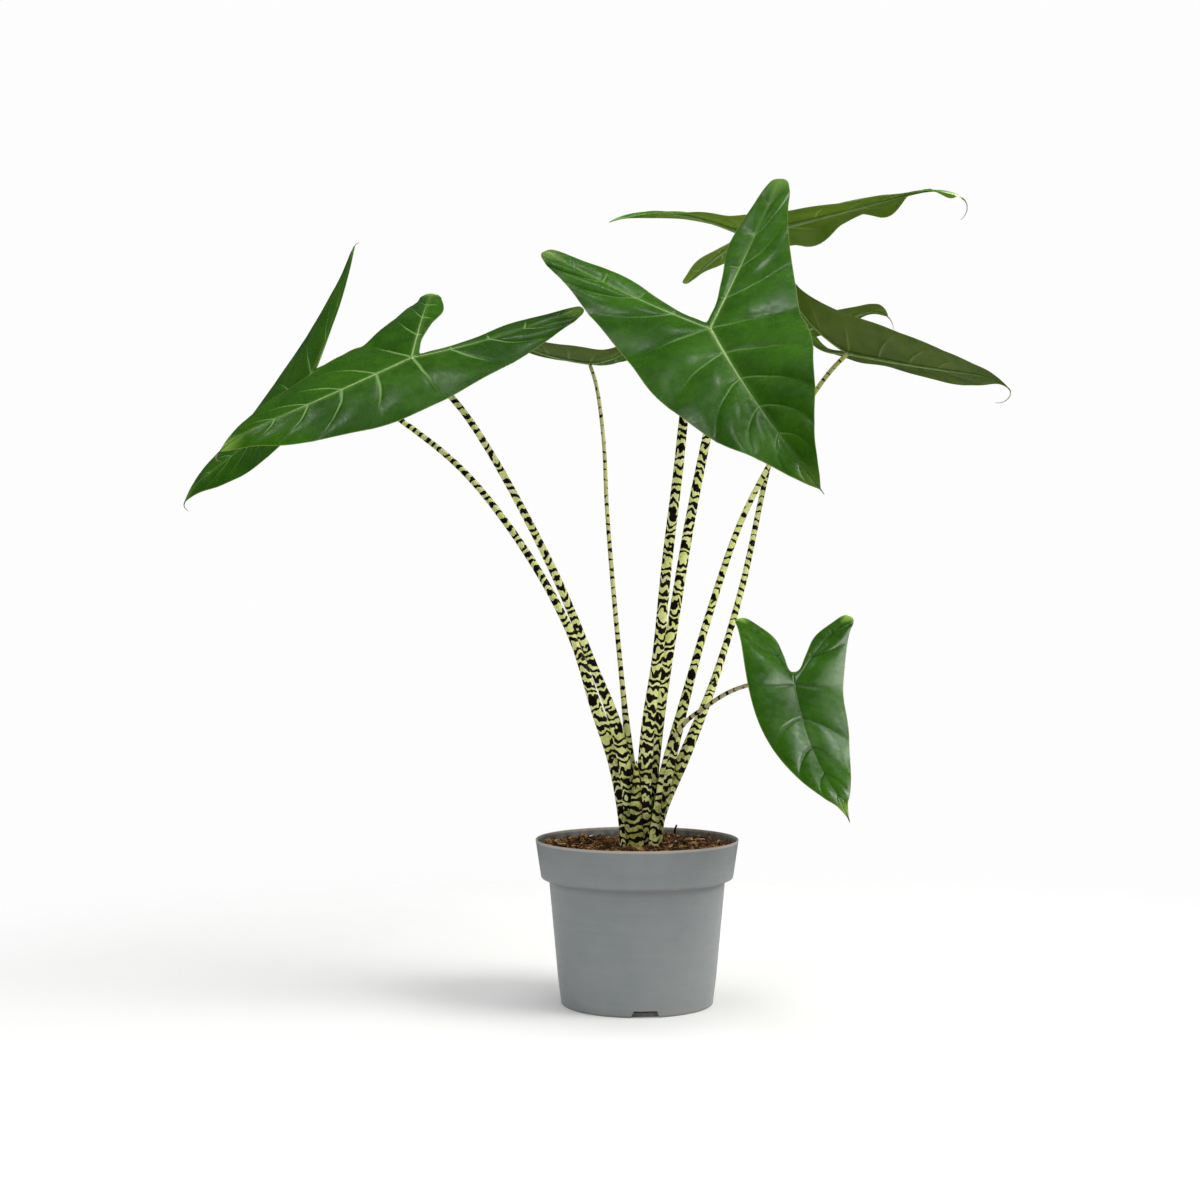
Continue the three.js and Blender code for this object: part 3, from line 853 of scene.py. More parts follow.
@dataclass(frozen=True)
class EarthFinish:
    """Loose brown matter: peat, coir, bark, or pale chips, each piece with a tone of its own."""

    name: str
    dark: Colour
    middle: Colour
    light: Colour
    roughness: float
    grain: float  # size of its relief in mm
    own_share: float = 0.6  # how much of its tone is its own, and not the mottle's
    wet_gloss: float = 0.35  # how much smoother it is where it is wet
    gloss: float = 0.15

    def make(self, effects: Effects) -> Material:
        """Makes the material, which reads the mark "bit": tone, wetness and a number of its own.

        Args:
            effects: the node groups.

        Returns:
            The material.
        """
        skin = Skin(self.name)
        place = skin.place_in_mm()
        own, wet, _ = skin.mark("bit").parts()
        fine = place.noise(1.4 / self.grain, detail=6, roughness=0.7)
        mottle = effects.tone(place, 0.35 / self.grain)
        lit = own * self.own_share + mottle * (1 - self.own_share)
        earth = lit.step(0.0, 0.55).between(self.dark, self.middle)
        # the dark mixed into the low spots of the relief is painted shade
        earth = earth.under((self.light, lit.step(0.5, 1.0)), (self.dark, fine.step(0.5, 0.25, 0.0, 0.6)))
        rough = wet.step(0.0, 1.0, self.roughness, self.roughness - self.wet_gloss)
        return skin.finished(earth, rough, fine.bump(0.9, self.grain * 0.5), self.gloss)


@dataclass(frozen=True)
class PotSize:
    """The grower pot, as its CAD solid is: outside radii with their heights, and the wall."""

    rim_radius: float = 85
    height: float = 137
    wall: float = 1.4
    collar_radius: float = 80.5
    collar_foot: float = 107
    neck_radius: float = 73.7
    neck_height: float = 104
    heel_radius: float = 66.2
    heel_height: float = 22
    foot_radius: float = 62.8
    foot_ring: float = 5.8
    recess: float = 1.5
    floor: float = 3.5
    pad_radius: float = 20
    notches: int = 3
    notch_width: float = 24.5
    notch_top: float = 19
    notch_height: float = 5.5
    notch_reach: float = 16
    first_notch: float = -85
    segments: int = 192

    def collar_inside(self, height: float) -> float:
        """The collar's inner radius at a height."""
        share = (height - self.collar_foot) / (self.height - self.collar_foot)
        return self.collar_radius + (self.rim_radius - self.collar_radius) * share - self.wall

    def body_inside(self, height: float) -> float:
        """The tapering body's inner radius at a height."""
        share = (height - self.heel_height) / (self.neck_height - self.heel_height)
        return self.heel_radius + (self.neck_radius - self.heel_radius) * share - self.wall


@dataclass(frozen=True)
class SoilSize:
    """The peat fill: the height of its surface at the wall and in the middle."""

    edge: float = 130
    crown: float = 131.5
    bottom: float = 3.8
    gap: float = 0.3


POT = PotSize()
SOIL = SoilSize()


def rounded(corners: Sequence[Point], steps: int = 5) -> Array:
    """An outline whose corners are rounded.

    Args:
        corners: (radius, height, rounding) of each corner; the first and last stay sharp.
        steps: how many chords a rounding has.

    Returns:
        The outline's points.
    """
    points = [np.array(corners[0][:2], float)]
    for before, here, after in zip(corners, corners[1:], corners[2:]):
        corner = np.array(here[:2], float)
        if not here[2]:
            points.append(corner)
            continue
        back = unit(np.array(before[:2]) - corner)
        on = unit(np.array(after[:2]) - corner)
        half = math.acos(float(np.clip(back @ on, -1, 1))) / 2
        room = 0.49 * min(math.dist(before[:2], here[:2]), math.dist(after[:2], here[:2]))
        reach = min(here[2] / math.tan(half), room)
        radius = reach * math.tan(half)
        centre = corner + unit(back + on) * radius / math.sin(half)
        start, end = corner + back * reach - centre, corner + on * reach - centre
        turn = math.atan2(start[0] * end[1] - start[1] * end[0], start @ end)
        for i in range(steps + 1):
            angle = turn * i / steps
            cos, sin = math.cos(angle), math.sin(angle)
            points.append(centre + [start[0] * cos - start[1] * sin, start[0] * sin + start[1] * cos])
    points.append(np.array(corners[-1][:2], float))
    return np.array(points)


def lathe(outline: Array, segments: int) -> tuple[Array, Faces, Array]:
    """A turned solid.

    Args:
        outline: (radius, height) points from the axis round to the axis.
        segments: how many there are round the axis.

    Returns:
        The vertices, the faces, and the number of the outline point that each vertex comes from.
    """
    angles = np.linspace(0, 2 * math.pi, segments, endpoint=False)
    ring = vectors(np.cos(angles), np.sin(angles))
    inner = outline[1:-1]
    across = inner[:, None, :1] * ring
    height = np.repeat(inner[:, None, 1:], segments, 1)
    walls = np.concatenate([across, height], -1).reshape(-1, 3)
    ends = [[0, 0, outline[0][1]], [0, 0, outline[-1][1]]]
    index = np.arange(len(walls)).reshape(len(inner), segments)
    first, last = len(walls), len(walls) + 1
    index = np.vstack([np.full(segments, first), index, np.full(segments, last)])
    rows = np.concatenate([np.repeat(np.arange(1, len(outline) - 1), segments), [0, len(outline) - 1]])
    return np.concatenate([walls, ends]), grid_faces(np.column_stack([index, index[:, 0]])), rows


@dataclass(frozen=True)
class GrowerPot:
    """The pot: one moulded shell with a deep collar, a rounded lip and drain notches in its foot."""

    size: PotSize = POT
    finish: PlasticFinish = PlasticFinish()
    sharp: float = 35

    def outline(self) -> Array:
        """The turned outline, from the underside's middle round to the floor's middle.

        Returns:
            Its (radius, height) points.
        """
        p = self.size
        ring = p.foot_radius - p.foot_ring
        ledge = p.collar_foot + p.wall
        return rounded([
            (0, 0, 0), (p.pad_radius, 0, 0.6), (p.pad_radius + 1, p.recess, 0.6),
            (ring - 1, p.recess, 0.6), (ring, 0, 0.6), (p.foot_radius + 0.6, 0, 1.1),
            (p.heel_radius, p.heel_height, 0), (p.neck_radius, p.neck_height, 1.6),
            (p.collar_radius - 0.5, p.neck_height + 0.9, 1.4), (p.collar_radius, p.collar_foot, 1.2),
            (p.rim_radius, p.height, 0.65), (p.rim_radius - p.wall, p.height, 0.65),
            (p.collar_inside(ledge), ledge, 1.5),
            (p.body_inside(p.neck_height) - 0.5, p.neck_height + p.wall, 1.5),
            (p.body_inside(p.heel_height), p.heel_height, 0), (p.foot_radius - 1.2, p.floor, 2),
            (0, p.floor, 0),
        ])

    def notch(self, angle: float) -> Object:
        """The trapezoid that a drain notch is cut with.

        Args:
            angle: where it is round the pot, in degrees.

        Returns:
            The cutting tool.
        """
        p = self.size
        low, top, reach = p.notch_width / 2, p.notch_top / 2, p.notch_reach / 2
        section = [(-low, -1), (low, -1), (top, p.notch_height), (-top, p.notch_height)]
        points = [(x, y, z) for y in (p.heel_radius - reach, p.heel_radius + reach) for x, z in section]
        faces = [(0, 1, 2, 3), (7, 6, 5, 4)]
        faces += [(i, i + 4, (i + 1) % 4 + 4, (i + 1) % 4) for i in range(4)]
        mesh = bpy.data.meshes.new("notch_tool")
        mesh.from_pydata(np.array(points) * MM, [], faces)
        mesh.transform(Matrix.Rotation(math.radians(angle - 90), 4, "Z"))
        return placed("notch_tool", mesh)

    def cut_notches(self, pot: Object) -> None:
        """Cuts the drain notches, evenly spaced, out of the pot's foot.

        Args:
            pot: the turned pot, whose mesh becomes the cut one.
        """
        count = self.size.notches
        tools = [self.notch(self.size.first_notch + i * 360 / count) for i in range(count)]
        for tool in tools:
            cut = pot.modifiers.new("notch", "BOOLEAN")
            cut.object, cut.operation, cut.solver = tool, "DIFFERENCE", "EXACT"
        evaluated = pot.evaluated_get(bpy.context.evaluated_depsgraph_get())
        mesh = bpy.data.meshes.new_from_object(evaluated)
        pot.modifiers.clear()
        pot.data = mesh
        for tool in tools:
            bpy.data.objects.remove(tool)

    def mark_walls(self, mesh: Mesh) -> None:
        """Marks each vertex with its radius, its height and whether it is on the wall's inner side.

        Args:
            mesh: the pot's mesh.
        """
        p = self.size
        places = np.empty(len(mesh.vertices) * 3)
        mesh.vertices.foreach_get("co", places)
        x, y, z = places.reshape(-1, 3).T / MM
        radius = np.hypot(x, y)
        heights = [p.floor, p.heel_height, p.neck_height, p.collar_foot + p.wall, p.height]
        outside = [p.foot_radius, p.heel_radius, p.neck_radius, p.collar_radius, p.rim_radius]
        inside = (radius < np.interp(z, heights, outside) - p.wall / 2) & (z > p.floor - 0.1)
        set_mark(mesh, "turned", vectors(radius, z, inside))

    def build(self, effects: Effects) -> Object:
        """Turns the shell, cuts its notches and marks each vertex with where it is.

        Args:
            effects: the node groups of its finish.

        Returns:
            The pot.
        """
        surface = Surface()
        points, faces, _ = lathe(self.outline(), self.size.segments)
        surface.add(points, faces)
        finishes = [self.finish.make(effects)]
        pot = surface.build("grower_pot", finishes, Slot.POT, "pot", sharp=self.sharp)
        self.cut_notches(pot)
        self.mark_walls(pot.data)
        smooth_shaded(pot.data, self.sharp)
        return pot


class Hand(IntEnum):
    """A half of a blade, whose number is the sign of the side that it lies on."""

    LEFT = 1
    RIGHT = -1


@dataclass(frozen=True)
class Rib:
    """A rib: its length in mm, and how it droops, swings outwards, twists and curls, in degrees."""

    length: float
    droop: float = 0
    curl: float = 0
    swing: float = 0
    twist: float = 0


@dataclass(frozen=True)
class Lobe:
    """A back lobe's rib, how far it splays from the midrib's line and how far it folds up."""

    length: float
    splay: float
    droop: float
    swing: float
    twist: float
    fold: float
    strip: float = 1  # how wide its inner strip is, against that of most lobes
    thread: float = 0  # length of a thread at its tip
    hook: float = 0  # how far that thread bends down

    def rib(self) -> Rib:
        """The rib that carries the lobe."""
        return Rib(self.length, droop=self.droop, swing=self.swing, twist=self.twist)


@dataclass(frozen=True)
class Leaf:
    """A leaf: where its stalk meets its blade, how the blade lies, its ribs, and its stalk.

    A blade heads along yaw and pitch and rolls about its midrib. Closing folds its halves further
    towards the tip. The route runs from the corm to near the blade, and the radii are the stalk's
    at its foot, its middle and its top.
    """

    name: str
    at: Point
    yaw: float
    pitch: float
    roll: float
    half_width: float
    closing: float
    thread: float
    midrib: Rib
    left: Lobe
    right: Lobe
    route: tuple[Point, ...]
    radii: tuple[float, float, float]
    veins: int = 6
    quilt: float = 1.0
    wave: float = 1.5
    vein_contrast: float = 1.0
    brightness: float = 1.0
    cover: float = 0.64  # how much of the stalk its zebra marks darken, low down and at the top
    cover_top: float = 0.54
    band: float = 7.4  # their spacing low on the stalk, in mm
    brown: float = 0.0  # how withered the stalk is above the clump
    hook: float = 60  # how far the drip tip's thread bends down
    web: float = 0.13  # how far the sheet reaches behind the stalk, as a share of the half width
    tail: tuple[float, float] = (0.08, 0.14)  # the drip tip's share of the midrib, and its width there
    frill: float = 0.0  # height in mm of the waves of its left half's margin
    pale_tips: float = 0.4
    # a leaf whose ribs are sunk in gets dark veins and ribs, painted shade in their grooves
    sunk_ribs_shaded: bool = False
    seed: int = 0

    def lobe(self, hand: Hand) -> Lobe:
        """The lobe of one half."""
        return self.left if hand is Hand.LEFT else self.right


LEAVES = (
    Leaf(
        "left_front", (-183, -59, 532), 211, -26, -38, half_width=59, closing=-6, thread=14,
        midrib=Rib(180, 0, 32, -3, -10),
        left=Lobe(146, 20, -17, 6, 1, -1, strip=0.8), right=Lobe(146, 46, 30, 2, 10, -17), hook=130,
        route=((-4.5, -8, 105), (-5.5, -9, 150), (-11.5, -11.5, 200), (-21, -14, 240), (-38, -21, 285),
               (-70, -34, 362), (-121, -49, 458), (-148, -55, 497)),
        radii=(4.5, 3.9, 2.6), wave=1.2, vein_contrast=1.25, pale_tips=0.8, seed=1,
    ),
    Leaf(
        "left_back", (-288, 105, 538), 131, -33, -68, half_width=54, closing=-12, thread=12,
        midrib=Rib(211, -23, 35, 4, 1),
        left=Lobe(133, 28, 15, 0, 0, 4, strip=0.6),
        right=Lobe(119, 37, -9, 0, -12, 4, strip=0.8, thread=6, hook=70), hook=70,
        route=((-9, 0.5, 105), (-10.5, 1.5, 150), (-19.5, 3, 200), (-34, 3, 243), (-55, 10, 307),
               (-92, 20, 375), (-146, 36, 445), (-203, 60, 492), (-247, 84, 520)),
        radii=(4.5, 3.6, 2.2), veins=7, quilt=0.8, wave=0.8, cover=0.66, cover_top=0.5,
        brightness=1.3, seed=2,
    ),
    Leaf(
        "center", (55, -105, 549), -75, -35, 19, half_width=71, closing=18, thread=5,
        midrib=Rib(207, 14, 34, 10, 22),
        left=Lobe(186, 31, -22, 9, -7, 1), right=Lobe(173, 31, -21, 13, 8, -1),
        route=((5.5, -10.5, 105), (6, -12, 150), (9, -20, 229), (17, -34, 296), (23, -52, 364),
               (31, -68, 434), (40, -84, 507)),
        radii=(4.5, 4.8, 3.6), quilt=1.8, wave=1.6, vein_contrast=0.6, pale_tips=0.25, cover=0.7,
        cover_top=0.64, seed=3,
    ),
    Leaf(
        "top", (97, 66, 655), -33, 6, -28, half_width=47, closing=0, thread=20,
        midrib=Rib(208, 0, 47, -3, 21),
        left=Lobe(100, 22, 0, 12, 28, 17), right=Lobe(161, 57, 55, 22, 3, -19), frill=7, hook=110,
        route=((7, 2.5, 105), (9.5, 2.5, 150), (19, 4, 244), (31, 10, 320), (45, 20, 402),
               (62, 33, 484), (84, 46, 575)),
        # its brightness of 1.85 lightens both faces of the blade, painted light for the light that shines
        # through it
        radii=(4.3, 4.8, 3.2), veins=7, wave=2.0, cover=0.68, cover_top=0.64, brightness=1.85, seed=4,
    ),
    Leaf(
        "right", (185, 62, 552), -36, -15, -29, half_width=49, closing=-22, thread=22,
        midrib=Rib(160, -5, 39, -3, -3),
        left=Lobe(102, 25, -46, 0, -28, 23), right=Lobe(105, 36, -48, 1, -20, 12),
        route=((14.5, -4.5, 105), (18, -4, 150), (43, 6, 261), (64, 21, 332), (93, 38, 411),
               (133, 51, 483), (168, 60, 534)),
        radii=(4, 3.5, 2), quilt=0.8, wave=1.2, hook=150, cover=0.62, cover_top=0.2, brightness=0.82,
        seed=5,
    ),
    Leaf(
        "rear", (156, 188, 589), 28, 12, -14, half_width=38, closing=2, thread=14,
        midrib=Rib(106, -11, 70, 1, -4),
        left=Lobe(62, 27, -5, -1, 0, -2), right=Lobe(78, 26, -9, -2, 0, 2),
        route=((15, 6.5, 105), (18.5, 7.5, 150), (43, 16, 208), (67, 38, 267), (94, 76, 350),
               (119, 122, 450), (144, 166, 534)),
        radii=(4.1, 3.1, 2), veins=5, quilt=0.7, wave=1.0, cover=0.5, cover_top=0.4, seed=6,
    ),
    Leaf(
        "small_center", (-40, 44, 541), 209, 1, 3, half_width=34, closing=-1, thread=8,
        midrib=Rib(91, -22, 21, 0, 1),
        left=Lobe(52, 26, -53, -1, 24, 8), right=Lobe(75, 27, -30, 0, 4, 10), brown=0.35,
        route=((-2, 5, 105), (-2.5, 6, 150), (-11, 10, 252), (-18, 20, 326), (-25, 31, 413),
               (-28, 38, 474), (-34, 42, 520)),
        radii=(3.6, 2.2, 1.6), veins=5, quilt=0.6, wave=0.5, cover=0.46, cover_top=0.2,
        brightness=0.82, seed=7,
    ),
    Leaf(
        "small_right", (126, -57, 269), -84, -51, -5, half_width=40, closing=-3, thread=2,
        midrib=Rib(157, -32, 37, 11, 12),
        left=Lobe(92, 32, -2, 13, 8, 2, strip=0.95), right=Lobe(84, 20, 18, 8, 8, 2, strip=1.1),
        web=0.3, tail=(0.12, 0.16), brown=0.9,
        route=((13, -14.5, 105), (16.5, -16, 160), (25, -20, 211), (39, -23, 235), (55, -29, 248),
               (74, -38, 261), (93, -47, 268), (111, -53, 269)),
        radii=(3.2, 2, 1.7), veins=5, wave=0.8, cover=0.46, cover_top=0.34, pale_tips=0.8, sunk_ribs_shaded=True,
        seed=8,
    ),
)


@dataclass(frozen=True)
class Frames:
    """Places along a rib: point, direction, outward side and upper normal of each."""

    point: Array
    along: Array
    side: Array
    up: Array

    def lines(self) -> tuple[Array, Array, Array, Array]:
        """The four of them in order."""
        return self.point, self.along, self.side, self.up

    def at(self, share: Array) -> "Frames":
        """The frames at shares of the rib's length.

        Args:
            share: the shares.

        Returns:
            A frame for each share.
        """
        place = np.clip(share, 0, 1) * (len(self.point) - 1)
        low = np.clip(place.astype(int), 0, len(self.point) - 2)
        part = (place - low)[..., None]
        point, *headings = (line[low] * (1 - part) + line[low + 1] * part for line in self.lines())
        return Frames(point, *(unit(heading) for heading in headings))

    def out(self, hand: int, angle: Array, lift: Array | float, distance: Array) -> Array:
        """Points on rows that leave the rib at an angle from its direction.

        Args:
            hand: 1 for the rib's outward side, -1 for the other.
            angle: between the rib's direction and the row, in radians.
            lift: how far the row folds up, in radians.
            distance: how far along the row each point is.

        Returns:
            The points.
        """
        angle, lift, distance = (np.asarray(v, float)[..., None] for v in (angle, lift, distance))
        flat = self.along * np.cos(angle) + self.side * np.sin(angle) * hand
        return self.point + (flat * np.cos(lift) + self.up * np.sin(lift)) * distance


def turned(a: Array, b: Array, angle: float) -> tuple[Array, Array]:
    """Vector a turned towards b, and b away from a, by an angle in radians."""
    cos, sin = math.cos(angle), math.sin(angle)
    return a * cos + b * sin, b * cos - a * sin


@dataclass(frozen=True)
class Chart:
    """A straight rib on the flattened blade: its length and heading, and the side its rows turn to."""

    length: float
    heading: float
    hand: int

    def places(self, share: Array, angle: Array, distance: Array) -> Array:
        """Where the vertices of rows that leave the rib lie on the flattened blade.

        Args:
            share: the rows' feet as shares of the rib.
            angle: between the rib's direction and each row, in radians.
            distance: how far along its row each vertex is.

        Returns:
            The places, as pairs.
        """
        foot = share * self.length
        turn = self.heading + angle * self.hand
        start = vectors(np.cos(self.heading) * foot, np.sin(self.heading) * foot)
        return start + vectors(np.cos(turn), np.sin(turn)) * distance[..., None]


@dataclass
class Sheet(Surface):
    """A blade's middle surface, laid row by row, with the marks of its vertices."""

    seed: int = 0
    seed_gap: float = 70  # between the charts of two leaves, so that no two are mottled alike

    def lay(self, place: Array, flat: Array, number: Array | float, reach: Array,
            width: Array | float, share: Array | float) -> Array:
        """Adds a grid of vertices.

        Args:
            place: where they are.
            flat: where they are on the flattened blade.
            number: their vein numbers.
            reach: their shares of the way from rib to margin.
            width: how wide their rows are.
            share: their shares of the way along the rib.

        Returns:
            Their own numbers.
        """
        shape = place.shape[:-1]
        number, reach, width, share = (np.broadcast_to(v, shape) for v in (number, reach, width, share))
        marks = {
            "vein": vectors(number, reach * width, reach),
            "edge": vectors((1 - reach) * width, share, width),
            "chart": vectors(flat[..., 0], flat[..., 1], self.seed_gap * self.seed),
        }
        first = self.count
        self.add(place.reshape(-1, 3), [], **{name: mark.reshape(-1, 3) for name, mark in marks.items()})
        return np.arange(first, self.count).reshape(shape)

    def finished(self) -> tuple[Array, Faces, dict[str, Array]]:
        """The sheet without the vertices that no face uses.

        Returns:
            Its points, its faces, and its marks vein, edge and chart.
        """
        used, faces = only_used(self.faces, self.count)
        marks = {name: np.concatenate(values)[used] for name, values in self.marks.items()}
        return np.concatenate(self.points)[used], faces, marks


class Face(IntEnum):
    """A blade's finishes, in the order of its materials."""

    UPPER = 0
    LOWER = 1
    RIB = 2


@dataclass(frozen=True)
class Blade:
    """One arrowhead blade: its sheet with quilted laminae, its round ribs and its drip tip."""

    leaf: Leaf
    thickness: float = 0.5
    rib_steps: int = 96
    vein_rows: int = 12  # rows of vertices from one lateral vein to the next
    columns: int = 16
    inner_columns: int = 7
    row_foot: float = 80  # angle between the midrib and a row at its foot, and at its tip
    row_tip: float = 42
    vein_crowding: float = 1.15  # more than 1 where veins lie closer towards the tip
    column_crowding: float = 1.2  # the same for columns towards the rib
    end_turn: float = 60  # how far a lobe's last rows turn outwards
    sinus_lean: float = 0.45  # how far the rows beside the sinus lean towards the lobe's end
    arch: float = 0.03  # how high a half arches, as a share of its width
    thin_edge: float = 0.45  # the margin's thickness, as a share of the blade's
    rib_taper: float = 0.8  # from the stalk's top to the midrib's foot, and on to a lobe's rib's
    curl_share: float = 0.3
    vein_arc: float = 0.17  # how far a vein leans towards the tip, as a share of the rib
    rib_rings: int = 64
    rib_sides: int = 12
    midrib_tip: float = 0.55  # radius of the midrib's end, and of a lobe's rib's
    lobe_rib_tip: float = 0.4
    thread_steps: int = 16
    thread_tip: float = 0.2
    lobe_profile: Profile = (
        (0, 1), (0.2, 0.85), (0.4, 0.7), (0.6, 0.55), (0.8, 0.36), (0.9, 0.215), (0.95, 0.14),
        (0.98, 0.08), (0.995, 0.035), (1, 0),
    )

    def midrib_profile(self) -> Profile:
        """The width of a half along the midrib, both as shares."""
        tail, width = self.leaf.tail
        return (0, 1), (0.2, 0.95), (0.4, 0.8), (0.6, 0.6), (0.8, 0.32), (1 - tail, width), (1, 0)

    def sinus_profile(self) -> Profile:
        """The width of the strip between a lobe's rib and the sinus, both as shares."""
        web = self.leaf.web
        return ((0, web), (0.15, 0.08), (0.35, max(0.14, 0.5 * web)), (0.6, 0.26), (0.82, 0.22),
                (0.94, 0.14), (0.975, 0.08), (0.994, 0.035), (1, 0))

    def outer_reach(self) -> Array:
        """How far from its rib each column lies, as shares of the way to the margin."""
        return np.linspace(0, 1, self.columns + 1) ** self.column_crowding

    def inner_reach(self) -> Array:
        """The same for the strips beside the sinus."""
        return np.linspace(0, 1, self.inner_columns)

    def foot(self) -> Frames:
        """The frame where the stalk meets the blade.

        Returns:
            The frame, whose side is the blade's left.
        """
        yaw, pitch, roll = (math.radians(v) for v in (self.leaf.yaw, self.leaf.pitch, self.leaf.roll))
        cos, sin = math.cos(pitch), math.sin(pitch)
        along = np.array([math.cos(yaw) * cos, math.sin(yaw) * cos, sin])
        level = np.array([-math.cos(yaw) * sin, -math.sin(yaw) * sin, cos])
        up = level * math.cos(roll) + np.cross(along, level) * math.sin(roll)
        return Frames(np.array(self.leaf.at, float), along, np.cross(up, along), up)

    def bend(self, start: Frames, rib: Rib) -> Frames:
        """Follows a rib that bends as it goes.

        Args:
            start: the frame at its foot.
            rib: how it bends.

        Returns:
            The frames along it.
        """
        shares = (np.arange(self.rib_steps) + 0.5) / self.rib_steps
        curls = np.clip((shares - 1 + self.curl_share) / self.curl_share, 0, None)
        curls = math.radians(rib.curl) * curls / curls.sum()
        turns = (rib.droop, rib.swing, rib.twist)
        droop, swing, twist = (math.radians(turn) / self.rib_steps for turn in turns)
        point, along, side, up = start.lines()
        lines = [(point, along, side, up)]
        for curl in curls:
            along, up = turned(along, up, -(droop + curl))
            along, side = turned(along, side, swing)
            side, up = turned(side, up, twist)
            point = point + along * rib.length / self.rib_steps
            lines.append((point, along, side, up))
        return Frames(*(np.array(line) for line in zip(*lines)))

    def midrib(self) -> Frames:
        """The frames along the midrib."""
        return self.bend(self.foot(), self.leaf.midrib)

    def lobe_rib(self, hand: Hand) -> Frames:
        """The frames along a lobe's rib, with their side towards the lobe's outer margin.

        Args:
            hand: which lobe it is.

        Returns:
            The frames.
        """
        foot, lobe = self.foot(), self.leaf.lobe(hand)
        angle = math.pi - math.radians(lobe.splay)
        cos, sin = math.cos(angle), math.sin(angle)
        outward = foot.side * hand
        along, side = foot.along * cos + outward * sin, foot.along * sin - outward * cos
        return self.bend(Frames(foot.point, along, side, foot.up), lobe.rib())

    def rows(self, veins: int, reach: Array) -> tuple[Array, Array]:
        """Where the rows of a half lie, each bowed towards the tip.

        Args:
            veins: how many lateral veins it has.
            reach: the columns' shares of the way from rib to margin.

        Returns:
            Each vertex's share along the rib and vein number.
        """
        number = np.arange(veins * self.vein_rows + 1) / self.vein_rows
        share = 1 - (1 - number / veins) ** self.vein_crowding
        bow = self.vein_arc * 4 * share * (1 - share)
        along = share[:, None] + bow[:, None] * reach * (0.3 + 0.7 * reach)
        return np.minimum(along, 1), np.repeat(number[:, None], len(reach), 1)

    def lay_halves(self, sheet: Sheet) -> dict[Hand, Array]:
        """Lays the blade's two halves in front of the stalk.

        Args:
            sheet: what they are laid in.

        Returns:
            The vertex numbers of each half, row by row.
        """
        leaf = self.leaf
        reach = self.outer_reach()
        share, number = self.rows(leaf.veins, reach)
        rib = self.midrib().at(share)
        width = leaf.half_width * profile_at(self.midrib_profile(), share)
        angle = np.radians(self.row_foot + (self.row_tip - self.row_foot) * share)
        distance = width * reach
        halves = {}
        for hand in Hand:
            lift = math.radians(leaf.lobe(hand).fold) + math.radians(leaf.closing) * share
            place = rib.out(hand, angle, lift, distance)
            flat = Chart(leaf.midrib.length, 0.0, hand).places(share, angle, distance)
            grids = (place, flat, number, np.broadcast_to(reach, share.shape), width, share)
            if hand is Hand.LEFT:
                index = sheet.lay(*grids)
            else:
                own = sheet.lay(*(grid[:, 1:] for grid in grids))
                index = np.column_stack([halves[Hand.LEFT][:, 0], own])
            index[-1] = index[-1, 0]
            halves[hand] = index
            sheet.faces += grid_faces(index, flip=hand is Hand.LEFT)
        return halves

    def lay_notch(self, sheet: Sheet, foot_number: int) -> Array:
        """Lays the line of vertices behind the stalk, between the two lobes.

        Args:
            sheet: what it is laid in.
            foot_number: the number of the vertex where the stalk meets the blade.

        Returns:
            The line's vertex numbers, from the foot on.
        """
        foot = self.foot()
        reach = self.inner_reach()[1:]
        back = reach * self.leaf.web * self.leaf.half_width
        place = foot.point - foot.along * back[:, None]
        flat = vectors(-back, 0.0)
        line = sheet.lay(place, flat, 0.0, reach, back[-1], 0.0)
        return np.concatenate([[foot_number], line])

    def lay_lobe(self, sheet: Sheet, hand: Hand, half: Array, notch: Array) -> None:
        """Lays a lobe on both sides of its rib.

        Args:
            sheet: what it is laid in.
            hand: which lobe it is.
            half: the vertex numbers of the half in front of it.
            notch: those of the line behind the stalk.
        """
        leaf, lobe = self.leaf, self.leaf.lobe(hand)
        veins = max(3, round(leaf.veins * lobe.length / leaf.midrib.length))
        rib = self.lobe_rib(hand)
        splay = math.radians(lobe.splay)
        chart = Chart(lobe.length, (math.pi - splay) * hand, -hand)

        reach = self.outer_reach()
        share, number = self.rows(veins, reach)
        width = leaf.half_width * profile_at(self.lobe_profile, share)
        fan = (math.pi - splay - math.radians(self.row_foot)) * (1 - share) ** 0.9
        angle = fan + math.radians(self.end_turn) * share**6
        distance = width * reach
        place = rib.at(share).out(1, angle, math.radians(lobe.fold), distance)
        flat = chart.places(share, angle, distance)
        outer = sheet.lay(place[1:], flat[1:], -number[1:], reach, width[1:], share[1:])
        outer[-1] = outer[-1, 0]
        sheet.faces += grid_faces(np.vstack([half[:1], outer]), flip=hand is Hand.RIGHT)

        reach = self.inner_reach()
        share, number = self.rows(veins, reach)
        share = np.repeat(share[:, :1], len(reach), 1)
        wide = 1 + (lobe.strip - 1) * smooth_step(share, 0.05, 0.3)
        width = leaf.half_width * profile_at(self.sinus_profile(), share) * wide
        square = np.minimum(1, share / 0.3)
        lean = self.sinus_lean * smooth_step(share, 0.5, 0.8)
        lean = lean * (1 - 0.3 * smooth_step(share, 0.92, 1))
        angle = -(splay + (math.pi / 2 - splay) * square) * (1 - lean)
        distance = width * reach
        place = rib.at(share).out(1, angle, 0.0, distance)
        flat = chart.places(share, angle, distance)
        grids = (place, flat, -number, np.broadcast_to(reach, share.shape), width, share)
        strip = sheet.lay(*(grid[1:, 1:] for grid in grids))
        strip = np.column_stack([outer[:, 0], strip])
        strip[-1] = outer[-1, 0]
        sheet.faces += grid_faces(np.vstack([notch, strip]), flip=hand is Hand.LEFT)

